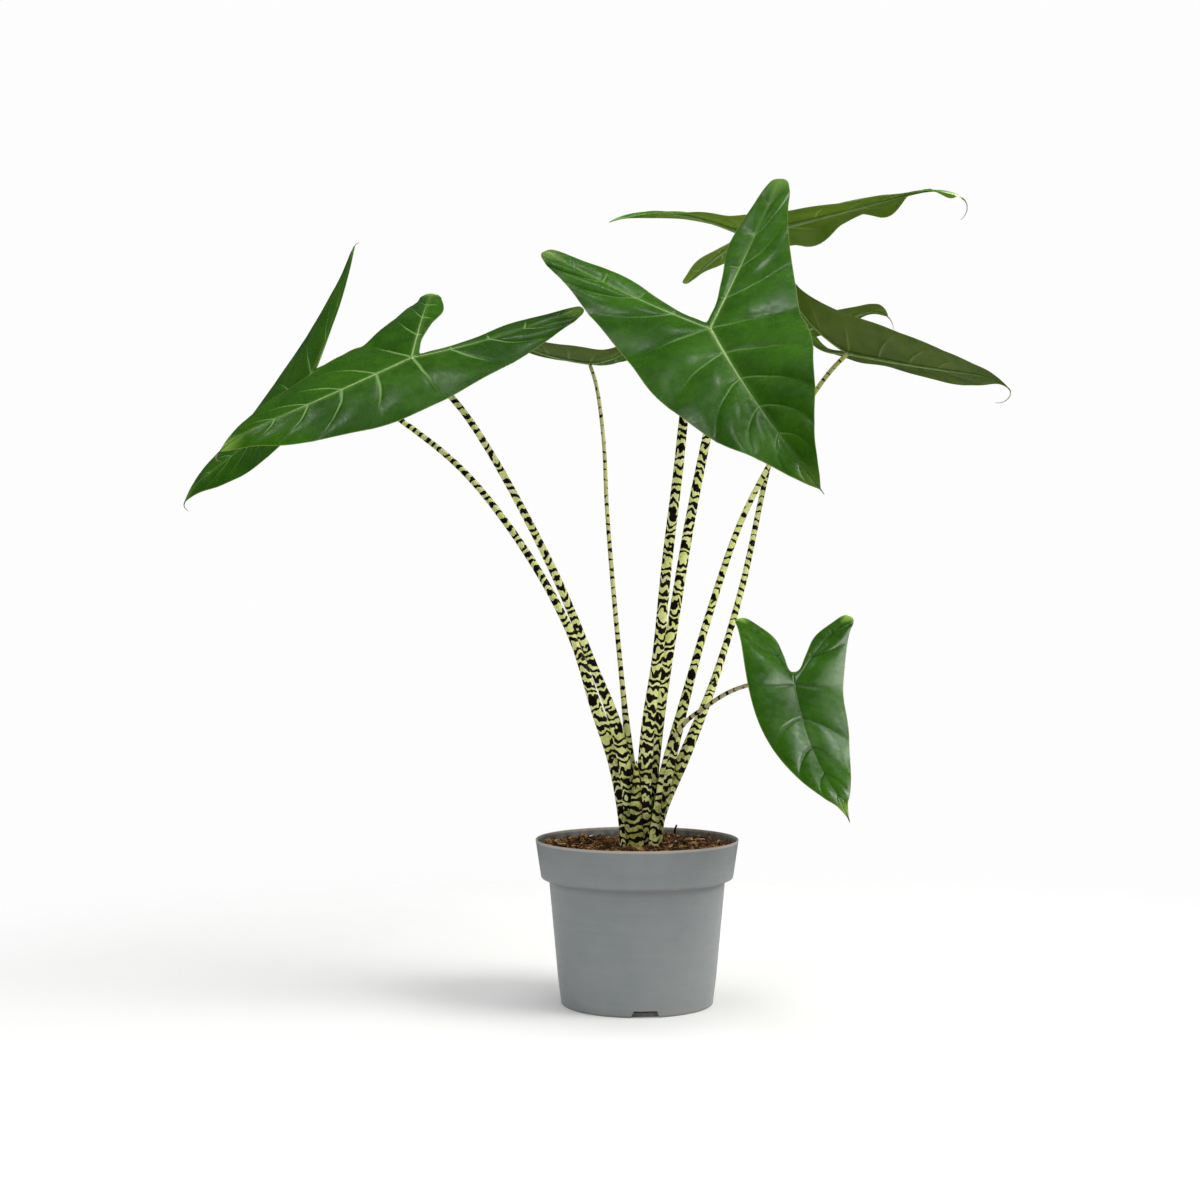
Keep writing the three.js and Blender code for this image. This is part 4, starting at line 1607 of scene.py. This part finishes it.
    def sheet(self) -> tuple[Array, Faces, dict[str, Array]]:
        """The blade's middle surface, before its relief.

        Returns:
            Its points, its faces, and its marks vein, edge and chart.
        """
        sheet = Sheet(seed=self.leaf.seed)
        halves = self.lay_halves(sheet)
        notch = self.lay_notch(sheet, int(halves[Hand.LEFT][0, 0]))
        for hand in Hand:
            self.lay_lobe(sheet, hand, halves[hand], notch)
        return sheet.finished()

    def relief(self, vein: Array, edge: Array, chart: Array) -> Array:
        """How far each vertex of the sheet lies above it.

        Laminae bulge between the veins, the halves arch, and the margin is wavy.

        Args:
            vein: the sheet's marks of that name.
            edge: the same.
            chart: the same.

        Returns:
            The heights in mm.
        """
        leaf = self.leaf
        number, _, reach = vein.T
        _, share, width = edge.T
        size = width / 60
        crest = np.abs(np.sin(math.pi * number)) ** 0.7 - 0.45
        body = smooth_step(reach, 0, 0.35) * (1 - 0.6 * smooth_step(reach, 0.8, 1))
        quilt = leaf.quilt * 1.5 * crest * body * size
        arch = self.arch * width * 4 * reach * (1 - reach)
        slow = np.array([noise.noise(Vector((x / 45, y / 45, z))) for x, y, z in chart])
        ripple = np.array([
            noise.noise(Vector((n * 0.9 + (7 if y > 0 else 19), 3.1, z)))
            for n, (_, y, z) in zip(number, chart)
        ])
        wave = leaf.wave * (ripple * 2.2 * reach**2.5 + slow * 1.6 * smooth_step(reach, 0.05, 0.5))
        wave = wave * np.minimum(1, size * 1.6) * (1 - 0.5 * share**3)
        frilled = (number > 0) & (chart[:, 1] > 0)
        swell = np.clip(np.cos(2 * math.pi * (share - 0.15) / 0.36), -0.4, 1)
        frill = -leaf.frill * frilled * swell * reach**1.8
        return quilt + arch + wave + frill * smooth_step(share, 0, 0.12) * smooth_step(share, 1, 0.9)

    def add_rib(self, surface: Surface, rib: Frames, number: int, root: float, tip: float,
                thread: float, hook: float) -> None:
        """Adds a round rib, mostly below the sheet.

        Args:
            surface: the blade's surface.
            rib: the frames that it follows.
            number: its own number in the blade.
            root: its radius at its foot.
            tip: its radius at its end.
            thread: length of the thread past its end, or 0.
            hook: how far the thread bends down, in degrees.
        """
        share = np.linspace(0, 1, self.rib_rings)
        at = rib.at(share)
        radii = tip + (root - tip) * (1 - share) ** 1.1
        sink = np.interp(share, [0, 0.75, 1], [0.72, 0.7, 0.2])
        path = at.point - at.up * (radii * sink)[:, None]
        if thread:
            end = Frames(*(line[-1] for line in rib.lines()))
            steps = np.linspace(0, 1, self.thread_steps + 1)[1:]
            path = np.concatenate([path, self.bend(end, Rib(thread, droop=hook)).at(steps).point])
            radii = np.concatenate([radii, np.linspace(tip, self.thread_tip, self.thread_steps)])
            share = np.concatenate([share, 1 + steps])
        else:
            path, radii, share = path[:-2], radii[:-2], share[:-2]
        points, faces, place = tube(path, radii, self.rib_sides)
        blank = np.zeros_like(points)
        surface.add(
            points, faces, Face.RIB, vein=blank, edge=blank, chart=blank,
            stalk=place + [0, 0, 300 * self.leaf.seed + 90 * number],
            rise=np.repeat(np.outer(share, [1, 0, 0]), self.rib_sides, axis=0),
        )

    def build(self, finishes: Sequence[Material]) -> Object:
        """Builds the blade with its upper face, lower face and ribs in one piece.

        Args:
            finishes: the materials of its upper face, its lower face and its ribs.

        Returns:
            The blade.
        """
        leaf = self.leaf
        points, faces, marks = self.sheet()
        points = relaxed(points, faces, marks["vein"][:, 1] < 1e-6)
        points = points + vertex_normals(points, faces) * self.relief(**marks)[:, None]
        full = smooth_step(marks["edge"][:, 0], 0, 2.5)
        half = self.thickness / 2 * (self.thin_edge + (1 - self.thin_edge) * full)
        both, all_faces = thickened(points, faces, half)
        marks = {name: np.concatenate([values] * 2) for name, values in marks.items()}
        blank = np.zeros_like(both)
        surface = Surface()
        surface.add(both, all_faces, Face.UPPER, stalk=blank, rise=blank, **marks)
        surface.finishes[-len(faces):] = [Face.LOWER] * len(faces)
        root = leaf.radii[2] * self.rib_taper
        self.add_rib(surface, self.midrib(), 0, root, self.midrib_tip, leaf.thread, leaf.hook)
        root = root * self.rib_taper
        for number, hand in enumerate(Hand, 1):
            lobe = leaf.lobe(hand)
            rib = self.lobe_rib(hand)
            self.add_rib(surface, rib, number, root, self.lobe_rib_tip, lobe.thread, lobe.hook)
        name = f"blade_{leaf.name}"
        return surface.build("leaf_" + name, finishes, Slot.BLADE, name, sharp=60)


def through(points: Sequence[Point], steps: int) -> Array:
    """A smooth route through points, evenly stepped.

    Args:
        points: what it passes through.
        steps: how many points it gets.

    Returns:
        The route's points.
    """
    known = np.array(points, float)
    known = np.vstack([2 * known[0] - known[1], known, 2 * known[-1] - known[-2]])
    pieces = []
    for before, a, b, after in zip(known, known[1:], known[2:], known[3:]):
        gaps = [math.dist(p, q) ** 0.5 for p, q in ((before, a), (a, b), (b, after))]
        out = ((a - before) / gaps[0] - (b - before) / (gaps[0] + gaps[1]) + (b - a) / gaps[1]) * gaps[1]
        into = ((b - a) / gaps[1] - (after - a) / (gaps[1] + gaps[2]) + (after - b) / gaps[2]) * gaps[1]
        t = np.linspace(0, 1, 40, endpoint=False)[:, None]
        pieces.append((2 * t**3 - 3 * t**2 + 1) * a + (t**3 - 2 * t**2 + t) * out
                      + (3 * t**2 - 2 * t**3) * b + (t**3 - t**2) * into)
    line = np.vstack([*pieces, known[-2]])
    along = lengths_along(line)
    even = np.linspace(0, along[-1], steps)
    return vectors(*(np.interp(even, along, part) for part in line.T))


@dataclass(frozen=True)
class Petiole:
    """A leaf's stalk, whose sheathing base widens towards the middle of the clump."""

    leaf: Leaf
    steps: int = 150
    sides: int = 48
    sheath_share: float = 0.34
    girth: float = 1.16  # how much thicker the sheathing base is all round
    wrap: float = 0.75  # how much further its sheath reaches towards the clump's middle
    wing: float = 0.9  # how far the sheath's edges stand out, in mm
    wing_angle: float = 62  # from the side that faces the clump's middle, in degrees
    thin_band: float = 7.8  # spacing of the zebra bands high on the stalk, in mm
    withering: tuple[float, float] = (195, 240)  # heights between which a withered stalk turns brown
    clump: Point = (3, -1, 0)

    def path(self) -> Array:
        """The centre line, from the corm to the foot of the blade's ribs."""
        end = np.array(self.leaf.at) - Blade(self.leaf).foot().up * self.leaf.radii[2] * 0.45
        return through([*self.leaf.route, tuple(end)], self.steps)

    def swell(self, circle: Array, path: Array, radii: Array, sheath: Array) -> Array:
        """How the sheathing base reaches further where it faces the clump's middle.

        Args:
            circle: each vertex's direction from the centre line, ring by ring.
            path: the centre line.
            radii: the stalk's radius at each ring.
            sheath: how much of a sheath the stalk is there, from 0 to 1.

        Returns:
            Each vertex's share of its ring's radius.
        """
        inward = unit(np.array([*self.clump[:2], 0]) - path * [1, 1, 0])
        facing = np.clip(np.einsum("sik,sk->si", circle, inward), -1, 1)
        wing = np.exp(-(((np.degrees(np.arccos(facing)) - self.wing_angle) / 8) ** 2))
        reach = self.wrap * np.clip(facing, 0, None) ** 1.5
        return 1 + (reach + wing * (self.wing / radii)[:, None]) * sheath[:, None]

    def zebra(self, share: Array, path: Array, radii: Array) -> Array:
        """The "zebra" mark of each ring: band count, cover and browning.

        Args:
            share: the rings' shares of the way up.
            path: the centre line.
            radii: the stalk's radius at each ring.

        Returns:
            The marks.
        """
        leaf = self.leaf
        gap = np.linalg.norm(np.diff(path, axis=0), axis=1).mean()
        spacing = leaf.band + (self.thin_band - leaf.band) * smooth_step(radii, 4.2, 2.0)
        bands = np.cumsum(gap / spacing) + leaf.seed * 3.7
        cover = leaf.cover + (leaf.cover_top - leaf.cover) * smooth_step(share, 0.25, 0.85)
        cover = cover * (1 - 0.35 * smooth_step(share, 0.93, 1))
        brown = leaf.brown * smooth_step(path[:, 2], *self.withering)
        return vectors(bands, cover, brown)

    def build(self, material: Material) -> Object:
        """Builds the stalk, from the corm to the ribs of its blade.

        Args:
            material: its finish.

        Returns:
            The stalk.
        """
        leaf = self.leaf
        foot, middle, top = leaf.radii
        path = self.path()
        share = np.linspace(0, 1, self.steps)
        low = smooth_step(share, 0, self.sheath_share * 1.15)
        radii = foot + (middle - foot) * low + (top - middle) * smooth_step(share, 0.2, 1)
        sheath = 1 - smooth_step(share, self.sheath_share * 0.45, self.sheath_share * 1.2)
        radii = radii * (1 + (self.girth - 1) * sheath)
        radii[-1] *= 0.8
        swell = partial(self.swell, path=path, radii=radii, sheath=sheath)
        points, faces, place = tube(path, radii, self.sides, swell)
        rise = vectors(share, path[:, 2], radii)
        zebra = self.zebra(share, path, radii)
        surface = Surface()
        surface.add(points, faces, stalk=place + [0, 0, 300.0 * leaf.seed],
                    rise=np.repeat(rise, self.sides, axis=0), zebra=np.repeat(zebra, self.sides, axis=0))
        return surface.build(f"stalk_{leaf.name}", [material], Slot.PETIOLE, f"petiole_{leaf.name}")


@dataclass(frozen=True)
class SheathLeaf:
    """The pointed sheath leaf at the front of the clump, a thin bowed tongue."""

    x: float = -1
    y: float = -17.2
    lean: float = 2.5
    bottom: float = 105.3
    top: float = 204
    half_width: float = 6.4
    bow: float = 2.2
    thickness: float = 0.9
    band: float = 6.5  # spacing of its zebra marks, and how much of it they darken
    cover: float = 0.56
    browning: float = 0.3  # of its edges
    rows: int = 60
    columns: int = 18

    def build(self, material: Material) -> Object:
        """Builds the tongue with faint lengthwise folds.

        Args:
            material: its finish.

        Returns:
            The sheath leaf.
        """
        s, u = np.meshgrid(np.linspace(0, 1, self.rows), np.linspace(-1, 1, self.columns), indexing="ij")
        fold = 0.15 * np.cos(u * 9) * (1 - s)
        x = self.x + u * self.half_width * np.sqrt(1 - s**2) ** 1.3
        y = self.y - self.lean * s - self.bow * (1 - u**2) * (1 - 0.5 * s) - fold
        z = self.bottom + (self.top - self.bottom) * s
        index = np.arange(s.size).reshape(s.shape)
        index[-1] = index[-1, 0]
        half = self.thickness / 2 * np.clip(1.25 - u**2, 0.25, 1) * (1 - 0.5 * s)
        sheet = vectors(x, y, z).reshape(-1, 3)
        points, faces = thickened(sheet, grid_faces(index), half.ravel())
        used, faces = only_used(faces, len(points))
        marks = {
            "stalk": vectors(x, u * 2, z),
            "rise": vectors(s, z, 3.0),
            "zebra": vectors(z / self.band, self.cover, self.browning * u**2),
        }
        both = {name: np.tile(values.reshape(-1, 3), (2, 1))[used] for name, values in marks.items()}
        surface = Surface()
        surface.add(points[used], faces, **both)
        return surface.build("sheath_tongue", [material], Slot.SHEATH, "sheath_leaf")


@dataclass(frozen=True)
class Chip:
    """A single larger bit on the soil: where it lies and its size across, in mm."""

    x: float
    y: float
    size: float


Bit = tuple[float, float, float, Point]


@dataclass(frozen=True)
class PeatFill:
    """The soil: a lumpy peat body with crumbs, coir fibres, pale chips and a twig on its surface.

    A bit that lies on it is given by its x, y, size across and mark (tone, wetness, number).
    """

    pot: PotSize = POT
    size: SoilSize = SOIL
    rings: int = 96
    segments: int = 256
    crumbs: int = 1600
    crumb_size: float = 1.3  # of the smallest, and of the biggest
    crumb_limit: float = 7
    fibres: int = 360
    fibre_steps: int = 8
    small_chips: int = 24
    seed: int = 11
    chips: tuple[Chip, ...] = (
        Chip(-39, 64, 2.8), Chip(28, -14, 3.8), Chip(56, 22, 3.4), Chip(62, 42, 3.6),
    )
    # a dip beside the clump, whose peat and crumbs are painted darker as the clump's shadow
    hollow: Point = (-26, 46, 26)  # its middle and its radius, beside the clump
    hollow_depth: float = 7
    clump: Point = (4, -3, 0)
    clump_reach: tuple[float, float] = (25, 18)
    twig: tuple[Point, ...] = ((33, 60, 126), (34, 60, 133), (34, 59, 137), (35.5, 58.5, 141.5))
    twig_radii: tuple[float, float] = (1.3, 0.8)

    def limit(self) -> float:
        """How far the surface reaches from the pot's axis."""
        return self.pot.collar_inside(self.size.edge - 3) - self.size.gap

    def in_shaded_hollow(self, x: Array | float, y: Array | float, steep: float = 1.0) -> Array | float:
        """How near places are to the hollow's middle: 1 there, and almost 0 outside the hollow, a dip
        painted darker as shadow.
        """
        away = np.hypot(x - self.hollow[0], y - self.hollow[1]) / self.hollow[2]
        return np.exp(-steep * away**2)

    def height(self, x: float, y: float) -> float:
        """The height of the peat's surface at a place.

        Args:
            x: the place.
            y: the same.

        Returns:
            The height in mm.
        """
        share = math.hypot(x, y) / self.limit()
        base = self.size.crown + (self.size.edge - self.size.crown) * share**2
        lump = 2.4 * noise.noise(Vector((x / 16, y / 16, 1.5)))
        knob = 1.5 * noise.noise(Vector((x / 6, y / 6, 5.5)))
        grit = 0.9 * noise.noise(Vector((x / 2.3, y / 2.3, 9.5)))
        return base + lump + knob + grit - self.hollow_depth * float(self.in_shaded_hollow(x, y, steep=1.6))

    def body(self) -> Surface:
        """The peat body, down to the pot's floor.

        Returns:
            Its surface.
        """
        p, s = self.pot, self.size
        rim = self.limit()
        outline = np.array([
            (0, s.bottom),
            (p.foot_radius - 1.2 - p.notch_reach / 2 - s.gap, s.bottom),
            (p.body_inside(p.heel_height) - s.gap, p.heel_height),
            (p.body_inside(p.neck_height) - 2 - s.gap, p.neck_height + p.wall),
            (p.collar_inside(p.collar_foot) - s.gap, p.collar_foot + p.wall * 2),
            *((rim, s.edge - drop) for drop in (7, 6, 5)),
            *((rim * share, s.edge) for share in np.linspace(1, 0, self.rings)),
        ])
        points, faces, rows = lathe(outline, self.segments)
        x, y, _ = points.T
        top = rows >= len(outline) - self.rings
        points[top, 2] = [self.height(*place) for place in points[top, :2]]
        wobble = np.array([noise.noise(Vector((a / 5, b / 5, 2.5))) for a, b in zip(x, y)])
        # painted shadow of the clump: the peat is darker in the hollow
        tone = 0.4 + 0.5 * wobble - 0.6 * self.in_shaded_hollow(x, y)
        # painted shade: the peat darkens over its last 4 mm towards the pot's wall
        tone = tone - 0.15 * smooth_step(np.hypot(x, y), rim - 4, rim)
        surface = Surface()
        surface.add(points, faces, bit=vectors(tone, 0.3, 0.0))
        return surface

    def free_place(self, rng: random.Random) -> tuple[float, float]:
        """Picks a place on the surface that is clear of the clump.

        Args:
            rng: the source of chance.

        Returns:
            Its x and y.
        """
        limit = self.limit() - 2
        while True:
            x, y = rng.uniform(-limit, limit), rng.uniform(-limit, limit)
            side, depth = x - self.clump[0], y - self.clump[1]
            near = math.hypot(side / self.clump_reach[0], depth / self.clump_reach[1])
            if math.hypot(x, y) < limit and near > 1:
                return x, y

    def lumps(self, rng: random.Random, bits: Sequence[Bit], detail: int, rough: float,
              proud: float) -> Surface:
        """Irregular lumps that lie partly sunk in the surface.

        Args:
            rng: the source of chance.
            bits: the lumps.
            detail: how finely a lump is divided.
            rough: how uneven it is.
            proud: how much of its lower half stands above the surface, as a share.

        Returns:
            All lumps as one surface.
        """
        ball = bmesh.new()
        bmesh.ops.create_icosphere(ball, subdivisions=detail, radius=0.5)
        base = np.array([v.co for v in ball.verts])
        faces = [tuple(v.index for v in face.verts) for face in ball.faces]
        ball.free()
        surface = Surface()
        for x, y, size, mark in bits:
            offset = Vector([rng.uniform(0, 90) for _ in range(3)])
            swell = np.array([1 + rough * noise.noise(Vector(co) * 2.6 + offset) for co in base])
            stretch = [size * rng.uniform(*span) for span in ((0.75, 1.3), (0.6, 1), (0.4, 0.75))]
            turn = Matrix.Rotation(rng.uniform(0, 2 * math.pi), 3, "Z")
            turn = turn @ Matrix.Rotation(rng.uniform(-0.6, 0.6), 3, "X")
            points = (base * swell[:, None] * stretch) @ np.array(turn).T
            centre = [x, y, self.height(x, y) - points[:, 2].min() * proud]
            surface.add(points + centre, faces, bit=np.tile(mark, (len(base), 1)))
        return surface

    def crumb_bits(self, rng: random.Random) -> list[Bit]:
        """Scatters the crumbs, small ones mostly, darker in the hollow as painted shadow.

        Args:
            rng: the source of chance.

        Returns:
            The crumbs.
        """
        bits = []
        for i in range(self.crumbs):
            x, y = self.free_place(rng)
            size = min(self.crumb_limit, self.crumb_size * math.exp(abs(rng.gauss(0, 0.75))))
            # painted shadow: crumbs in the hollow are darker
            tone = rng.betavariate(0.5, 0.8) * (1 - 0.85 * float(self.in_shaded_hollow(x, y)))
            bits.append((x, y, size, (tone, rng.random() ** 2, i)))
        return bits

    def chip_bits(self, rng: random.Random) -> list[Bit]:
        """The larger chips, and small ones scattered among them.

        Args:
            rng: the source of chance.

        Returns:
            The chips.
        """
        bits = [(chip.x, chip.y, chip.size, (0.8, 0, 0)) for chip in self.chips]
        for i in range(self.small_chips):
            bits.append((*self.free_place(rng), rng.uniform(1.0, 2.4), (rng.random(), 0, i)))
        return bits

    def fibre_path(self, rng: random.Random) -> list[Point]:
        """The route of one fibre, which wanders over the surface and arches above it a little.

        Args:
            rng: the source of chance.

        Returns:
            Its points.
        """
        x, y = self.free_place(rng)
        heading, turn = rng.uniform(0, 2 * math.pi), rng.uniform(-0.5, 0.5)
        stride, lift = rng.uniform(4, 15) / self.fibre_steps, rng.uniform(-0.2, 0.9)
        path = []
        for step in range(self.fibre_steps + 1):
            share = step / self.fibre_steps
            rise = 0.2 + lift * math.sin(math.pi * share) * 2 - 0.9 * (share < 0.1)
            path.append((x, y, self.height(x, y) + rise))
            heading += turn + rng.gauss(0, 0.12)
            on_x, on_y = x + math.cos(heading) * stride, y + math.sin(heading) * stride
            if math.hypot(on_x, on_y) < self.limit() - 1:
                x, y = on_x, on_y
        return path

    def fibre_tangle(self, rng: random.Random) -> Surface:
        """Short coir fibres that lie on the surface and stick up a little.

        Args:
            rng: the source of chance.

        Returns:
            All fibres as one surface.
        """
        surface = Surface()
        for i in range(self.fibres):
            path = self.fibre_path(rng)
            if math.dist(path[0], path[-1]) < 2:
                continue
            radii = np.linspace(1, 0.45, len(path)) * rng.uniform(0.16, 0.42)
            points, faces, _ = tube(np.array(path), radii, 6)
            tone = rng.uniform(0.35, 1)
            surface.add(points, faces, bit=np.tile((tone, 0, i), (len(points), 1)))
        return surface

    def twig_stub(self) -> Surface:
        """The dark twig that stands in the peat.

        Returns:
            Its surface.
        """
        surface = Surface()
        path = through(self.twig, 24)
        points, faces, _ = tube(path, np.linspace(*self.twig_radii, len(path)), 12)
        surface.add(points, faces, bit=np.tile((0.1, 0.3, 0), (len(points), 1)))
        return surface

    def build(self, effects: Effects) -> None:
        """Builds the peat and everything that lies on it.

        Args:
            effects: the node groups of their finishes.
        """
        rng = random.Random(self.seed)
        self.body().build("peat_body", [PEAT.make(effects)], Slot.SOIL, "soil")
        crumbs = self.lumps(rng, self.crumb_bits(rng), 2, rough=1.0, proud=0.45)
        crumbs.build("peat_crumbs", [CRUMB.make(effects)], Slot.SOIL)
        self.fibre_tangle(rng).build("coir_fibres", [COIR.make(effects)], Slot.SOIL)
        chips = self.lumps(rng, self.chip_bits(rng), 3, rough=0.7, proud=1.5)
        chips.build("perlite_chips", [PERLITE.make(effects)], Slot.SOIL)
        self.twig_stub().build("dark_twig", [TWIG.make(effects)], Slot.SOIL)


class Reach(Enum):
    """Whether a light both lights and mirrors, only lights, or only mirrors in glossy skins."""

    BOTH = "both"
    LIGHT = "light"
    SHEEN = "sheen"


@dataclass(frozen=True)
class Softbox:
    """A rectangular studio light: where it is, where it points, its size in mm, and its power."""

    name: str
    at: Point
    aim: Point
    width: float
    height: float
    power: float
    reach: Reach = Reach.BOTH
    tint: Point = (1, 1, 1)

    def build(self) -> None:
        """Places the light."""
        lamp = bpy.data.lights.new(self.name, "AREA")
        lamp.shape = "RECTANGLE"
        lamp.size, lamp.size_y, lamp.energy = self.width * MM, self.height * MM, self.power
        lamp.color = self.tint
        lit = placed(self.name, lamp)
        lit.visible_glossy = self.reach is not Reach.LIGHT
        lit.visible_diffuse = self.reach is not Reach.SHEEN
        lit.location = Vector(self.at) * MM
        lit.rotation_euler = (Vector(self.aim) - Vector(self.at)).to_track_quat("-Z", "Y").to_euler()


@dataclass(frozen=True)
class Studio:
    """A white sweep, soft light from the right and above, and the photograph's viewpoint."""

    camera_at: Point = (-31, -1622, 336.6)
    lens: float = 58.11
    sensor: float = 36
    white: float = 0.985  # how bright the backdrop looks, how much it lights, and is mirrored
    ambient: float = 0.26
    mirrored: float = 0.06
    floor: Colour = srgb(244, 244, 243)
    floor_light: Colour = srgb(247, 247, 246)
    floor_radius: float = 4000
    floor_sides: int = 96
    floor_glow: float = 0.1
    fade: tuple[float, float] = (300, 900)  # how far from the pot the floor starts to fade, and is gone
    lights: tuple[Softbox, ...] = (
        Softbox("key_softbox", (1500, -500, 1700), (0, 0, 350), 1200, 1200, 38, tint=(1, 0.99, 0.96)),
        Softbox("top_softbox", (-100, 0, 2200), (0, 0, 300), 1800, 1800, 24, Reach.LIGHT),
        Softbox("fill_softbox", (-1300, -1500, 900), (0, 0, 350), 1400, 1400, 9, Reach.LIGHT,
                (0.94, 0.97, 1)),
        Softbox("right_sheen", (680, 400, 1730), (110, -70, 300), 460, 520, 9, Reach.SHEEN),
        Softbox("front_sheen", (-40, -650, 2090), (-150, -100, 480), 320, 180, 0.2, Reach.SHEEN),
        Softbox("left_sheen", (-510, -350, 2110), (0, -100, 480), 180, 260, 1.2, Reach.SHEEN),
        Softbox("upper_sheen", (50, 60, 2265), (100, -80, 600), 160, 200, 1.0, Reach.SHEEN),
    )

    def build_camera(self) -> None:
        """Places the level camera that the photograph was taken from."""
        data = bpy.data.cameras.new("photo_camera")
        data.lens, data.sensor_width = self.lens, self.sensor
        camera = placed("photo_camera", data)
        camera.location = Vector(self.camera_at) * MM
        camera.rotation_euler = (math.pi / 2, 0, 0)
        bpy.context.scene.camera = camera

    def build_world(self) -> None:
        """Makes the white backdrop, which lights the scene less than it shows."""
        world = bpy.data.worlds.new("white_sweep")
        world.use_nodes = True
        tree = world.node_tree
        tree.nodes.clear()
        shader = Shader(tree)
        strengths = (self.white, self.ambient, self.mirrored)
        whites = ({0: (1, 1, 1, 1), 1: strength} for strength in strengths)
        seen, lit, mirrored = (shader.node("Background", 0, white) for white in whites)
        camera, glossy = (shader.node("LightPath", f"Is {kind} Ray") for kind in ("Camera", "Glossy"))
        hidden = shader.node("MixShader", 0, {0: glossy, 1: lit, 2: mirrored})
        mixed = shader.node("MixShader", 0, {0: camera, 1: hidden, 2: seen})
        shader.feed(tree.nodes.new("ShaderNodeOutputWorld").inputs[0], mixed)
        bpy.context.scene.world = world

    def build_floor(self) -> None:
        """Lays the pale floor, which melts into the backdrop away from the pot."""
        mesh = bpy.data.meshes.new("pale_floor")
        angles = np.arange(self.floor_sides) * 2 * math.pi / self.floor_sides
        ring = vectors(np.cos(angles), np.sin(angles), 0.0) * self.floor_radius * MM
        mesh.from_pydata(ring, [], [tuple(range(self.floor_sides))])
        skin = Skin("pale_floor")
        place = skin.node("TexCoord", "Object")
        colour = place.noise(60.0, detail=4).between(self.floor, self.floor_light)
        mesh.materials.append(skin.finished(colour, roughness=0.85, gloss=0.2))
        inputs = skin.principled.inputs
        inputs["Emission Color"].default_value = (1, 1, 1, 1)
        inputs["Emission Strength"].default_value = self.floor_glow
        share = skin.node("VectorMath", "Value", {0: place}, operation="LENGTH")
        share = share.step(*(distance * MM for distance in self.fade))
        solid = Signal(skin, skin.principled.outputs[0])
        mixed = skin.node("MixShader", 0, {0: share, 1: solid, 2: skin.node("BsdfTransparent", 0)})
        skin.feed(skin.tree.nodes["Material Output"].inputs[0], mixed)
        floor = placed("pale_floor", mesh)

    def build(self) -> None:
        """Sets up the camera, the backdrop, the floor and the lights."""
        bpy.context.scene.view_settings.view_transform = "Standard"
        self.build_camera()
        self.build_world()
        self.build_floor()
        for light in self.lights:
            light.build()


UPPER = BladeFinish(
    "leaf_upper_face", deep=srgb(32, 74, 0), light=srgb(54, 103, 3), vein=srgb(118, 156, 82),
    edge=srgb(136, 150, 84), tip=srgb(156, 200, 78), sunk_vein_shade=srgb(30, 60, 12), vein_share=0.72,
    roughness=0.24, gloss=0.3, relief=1,
)
# the underside's own olive, made lighter as painted light for the light that shines through the thin
# blade
LOWER = BladeFinish(
    "leaf_lower_face", deep=srgb(70, 98, 12), light=srgb(102, 128, 30), vein=srgb(136, 156, 86),
    edge=srgb(148, 158, 84), tip=srgb(132, 150, 60), sunk_vein_shade=srgb(78, 96, 40), vein_share=0.6,
    roughness=0.4, gloss=0.2, relief=-1,
)
STALK = StalkFinish(
    "zebra_stalk", pale=srgb(242, 245, 170), shade=srgb(216, 225, 126), olive=srgb(150, 156, 66),
    freckle=srgb(84, 74, 24), mark=srgb(12, 10, 6), blush=srgb(184, 140, 104),
    withered=srgb(150, 132, 108), roughness=0.42,
)
SHEATH = StalkFinish(
    "sheath_skin", pale=srgb(222, 226, 134), shade=srgb(186, 196, 92), olive=srgb(160, 160, 70),
    freckle=srgb(84, 72, 20), mark=srgb(30, 25, 10), blush=srgb(188, 158, 108),
    withered=srgb(166, 146, 98), roughness=0.45,
)
RIB = RibFinish(
    "pale_rib", pale=srgb(146, 176, 100), shade=srgb(122, 156, 78), end=srgb(62, 104, 28),
    spot=srgb(64, 62, 26), thread=srgb(150, 140, 120),
)
# dark ribs for a leaf whose ribs are sunk in: painted shade in their grooves
SHADED_SUNK_RIB = RibFinish(
    "shaded_sunk_rib", pale=srgb(96, 124, 66), shade=srgb(48, 80, 26), end=srgb(40, 72, 18),
    spot=srgb(40, 52, 16), thread=srgb(150, 164, 88),
)
PEAT = EarthFinish("peat", srgb(14, 8, 5), srgb(66, 41, 24), srgb(132, 88, 52), 0.95, 1.2)
CRUMB = EarthFinish("peat_crumb", srgb(15, 9, 5), srgb(108, 74, 40), srgb(222, 180, 118), 0.92, 0.6)
COIR = EarthFinish("coir", srgb(112, 70, 42), srgb(178, 122, 76), srgb(222, 176, 122), 0.8, 0.4)
PERLITE = EarthFinish("perlite", srgb(168, 156, 136), srgb(224, 218, 206), srgb(246, 244, 238), 0.85, 0.4)
TWIG = EarthFinish("twig_bark", srgb(20, 15, 12), srgb(46, 33, 25), srgb(92, 70, 50), 0.8, 0.4)
BARK = EarthFinish("corm_skin", srgb(52, 36, 22), srgb(118, 86, 56), srgb(168, 134, 92), 0.85, 1.5)


def main() -> None:
    """Builds the plant, its pot and the studio round it."""
    logging.basicConfig(level=logging.INFO, format="%(name)s: %(message)s")
    effects = Effects()
    GrowerPot().build(effects)
    PeatFill().build(effects)
    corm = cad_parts["corm"].data
    corm.materials.clear()
    corm.materials.append(BARK.make(effects))
    log.info("corm: dressed as it is")
    stalk, rib, shaded_sunk_rib = STALK.make(effects), RIB.make(effects), SHADED_SUNK_RIB.make(effects)
    SheathLeaf().build(SHEATH.make(effects))
    for leaf in LEAVES:
        Petiole(leaf).build(stalk)
        own_rib = shaded_sunk_rib if leaf.sunk_ribs_shaded else rib
        Blade(leaf).build([UPPER.make(effects, leaf), LOWER.make(effects, leaf), own_rib])
    Studio().build()


if __name__ == "__main__":
    main()
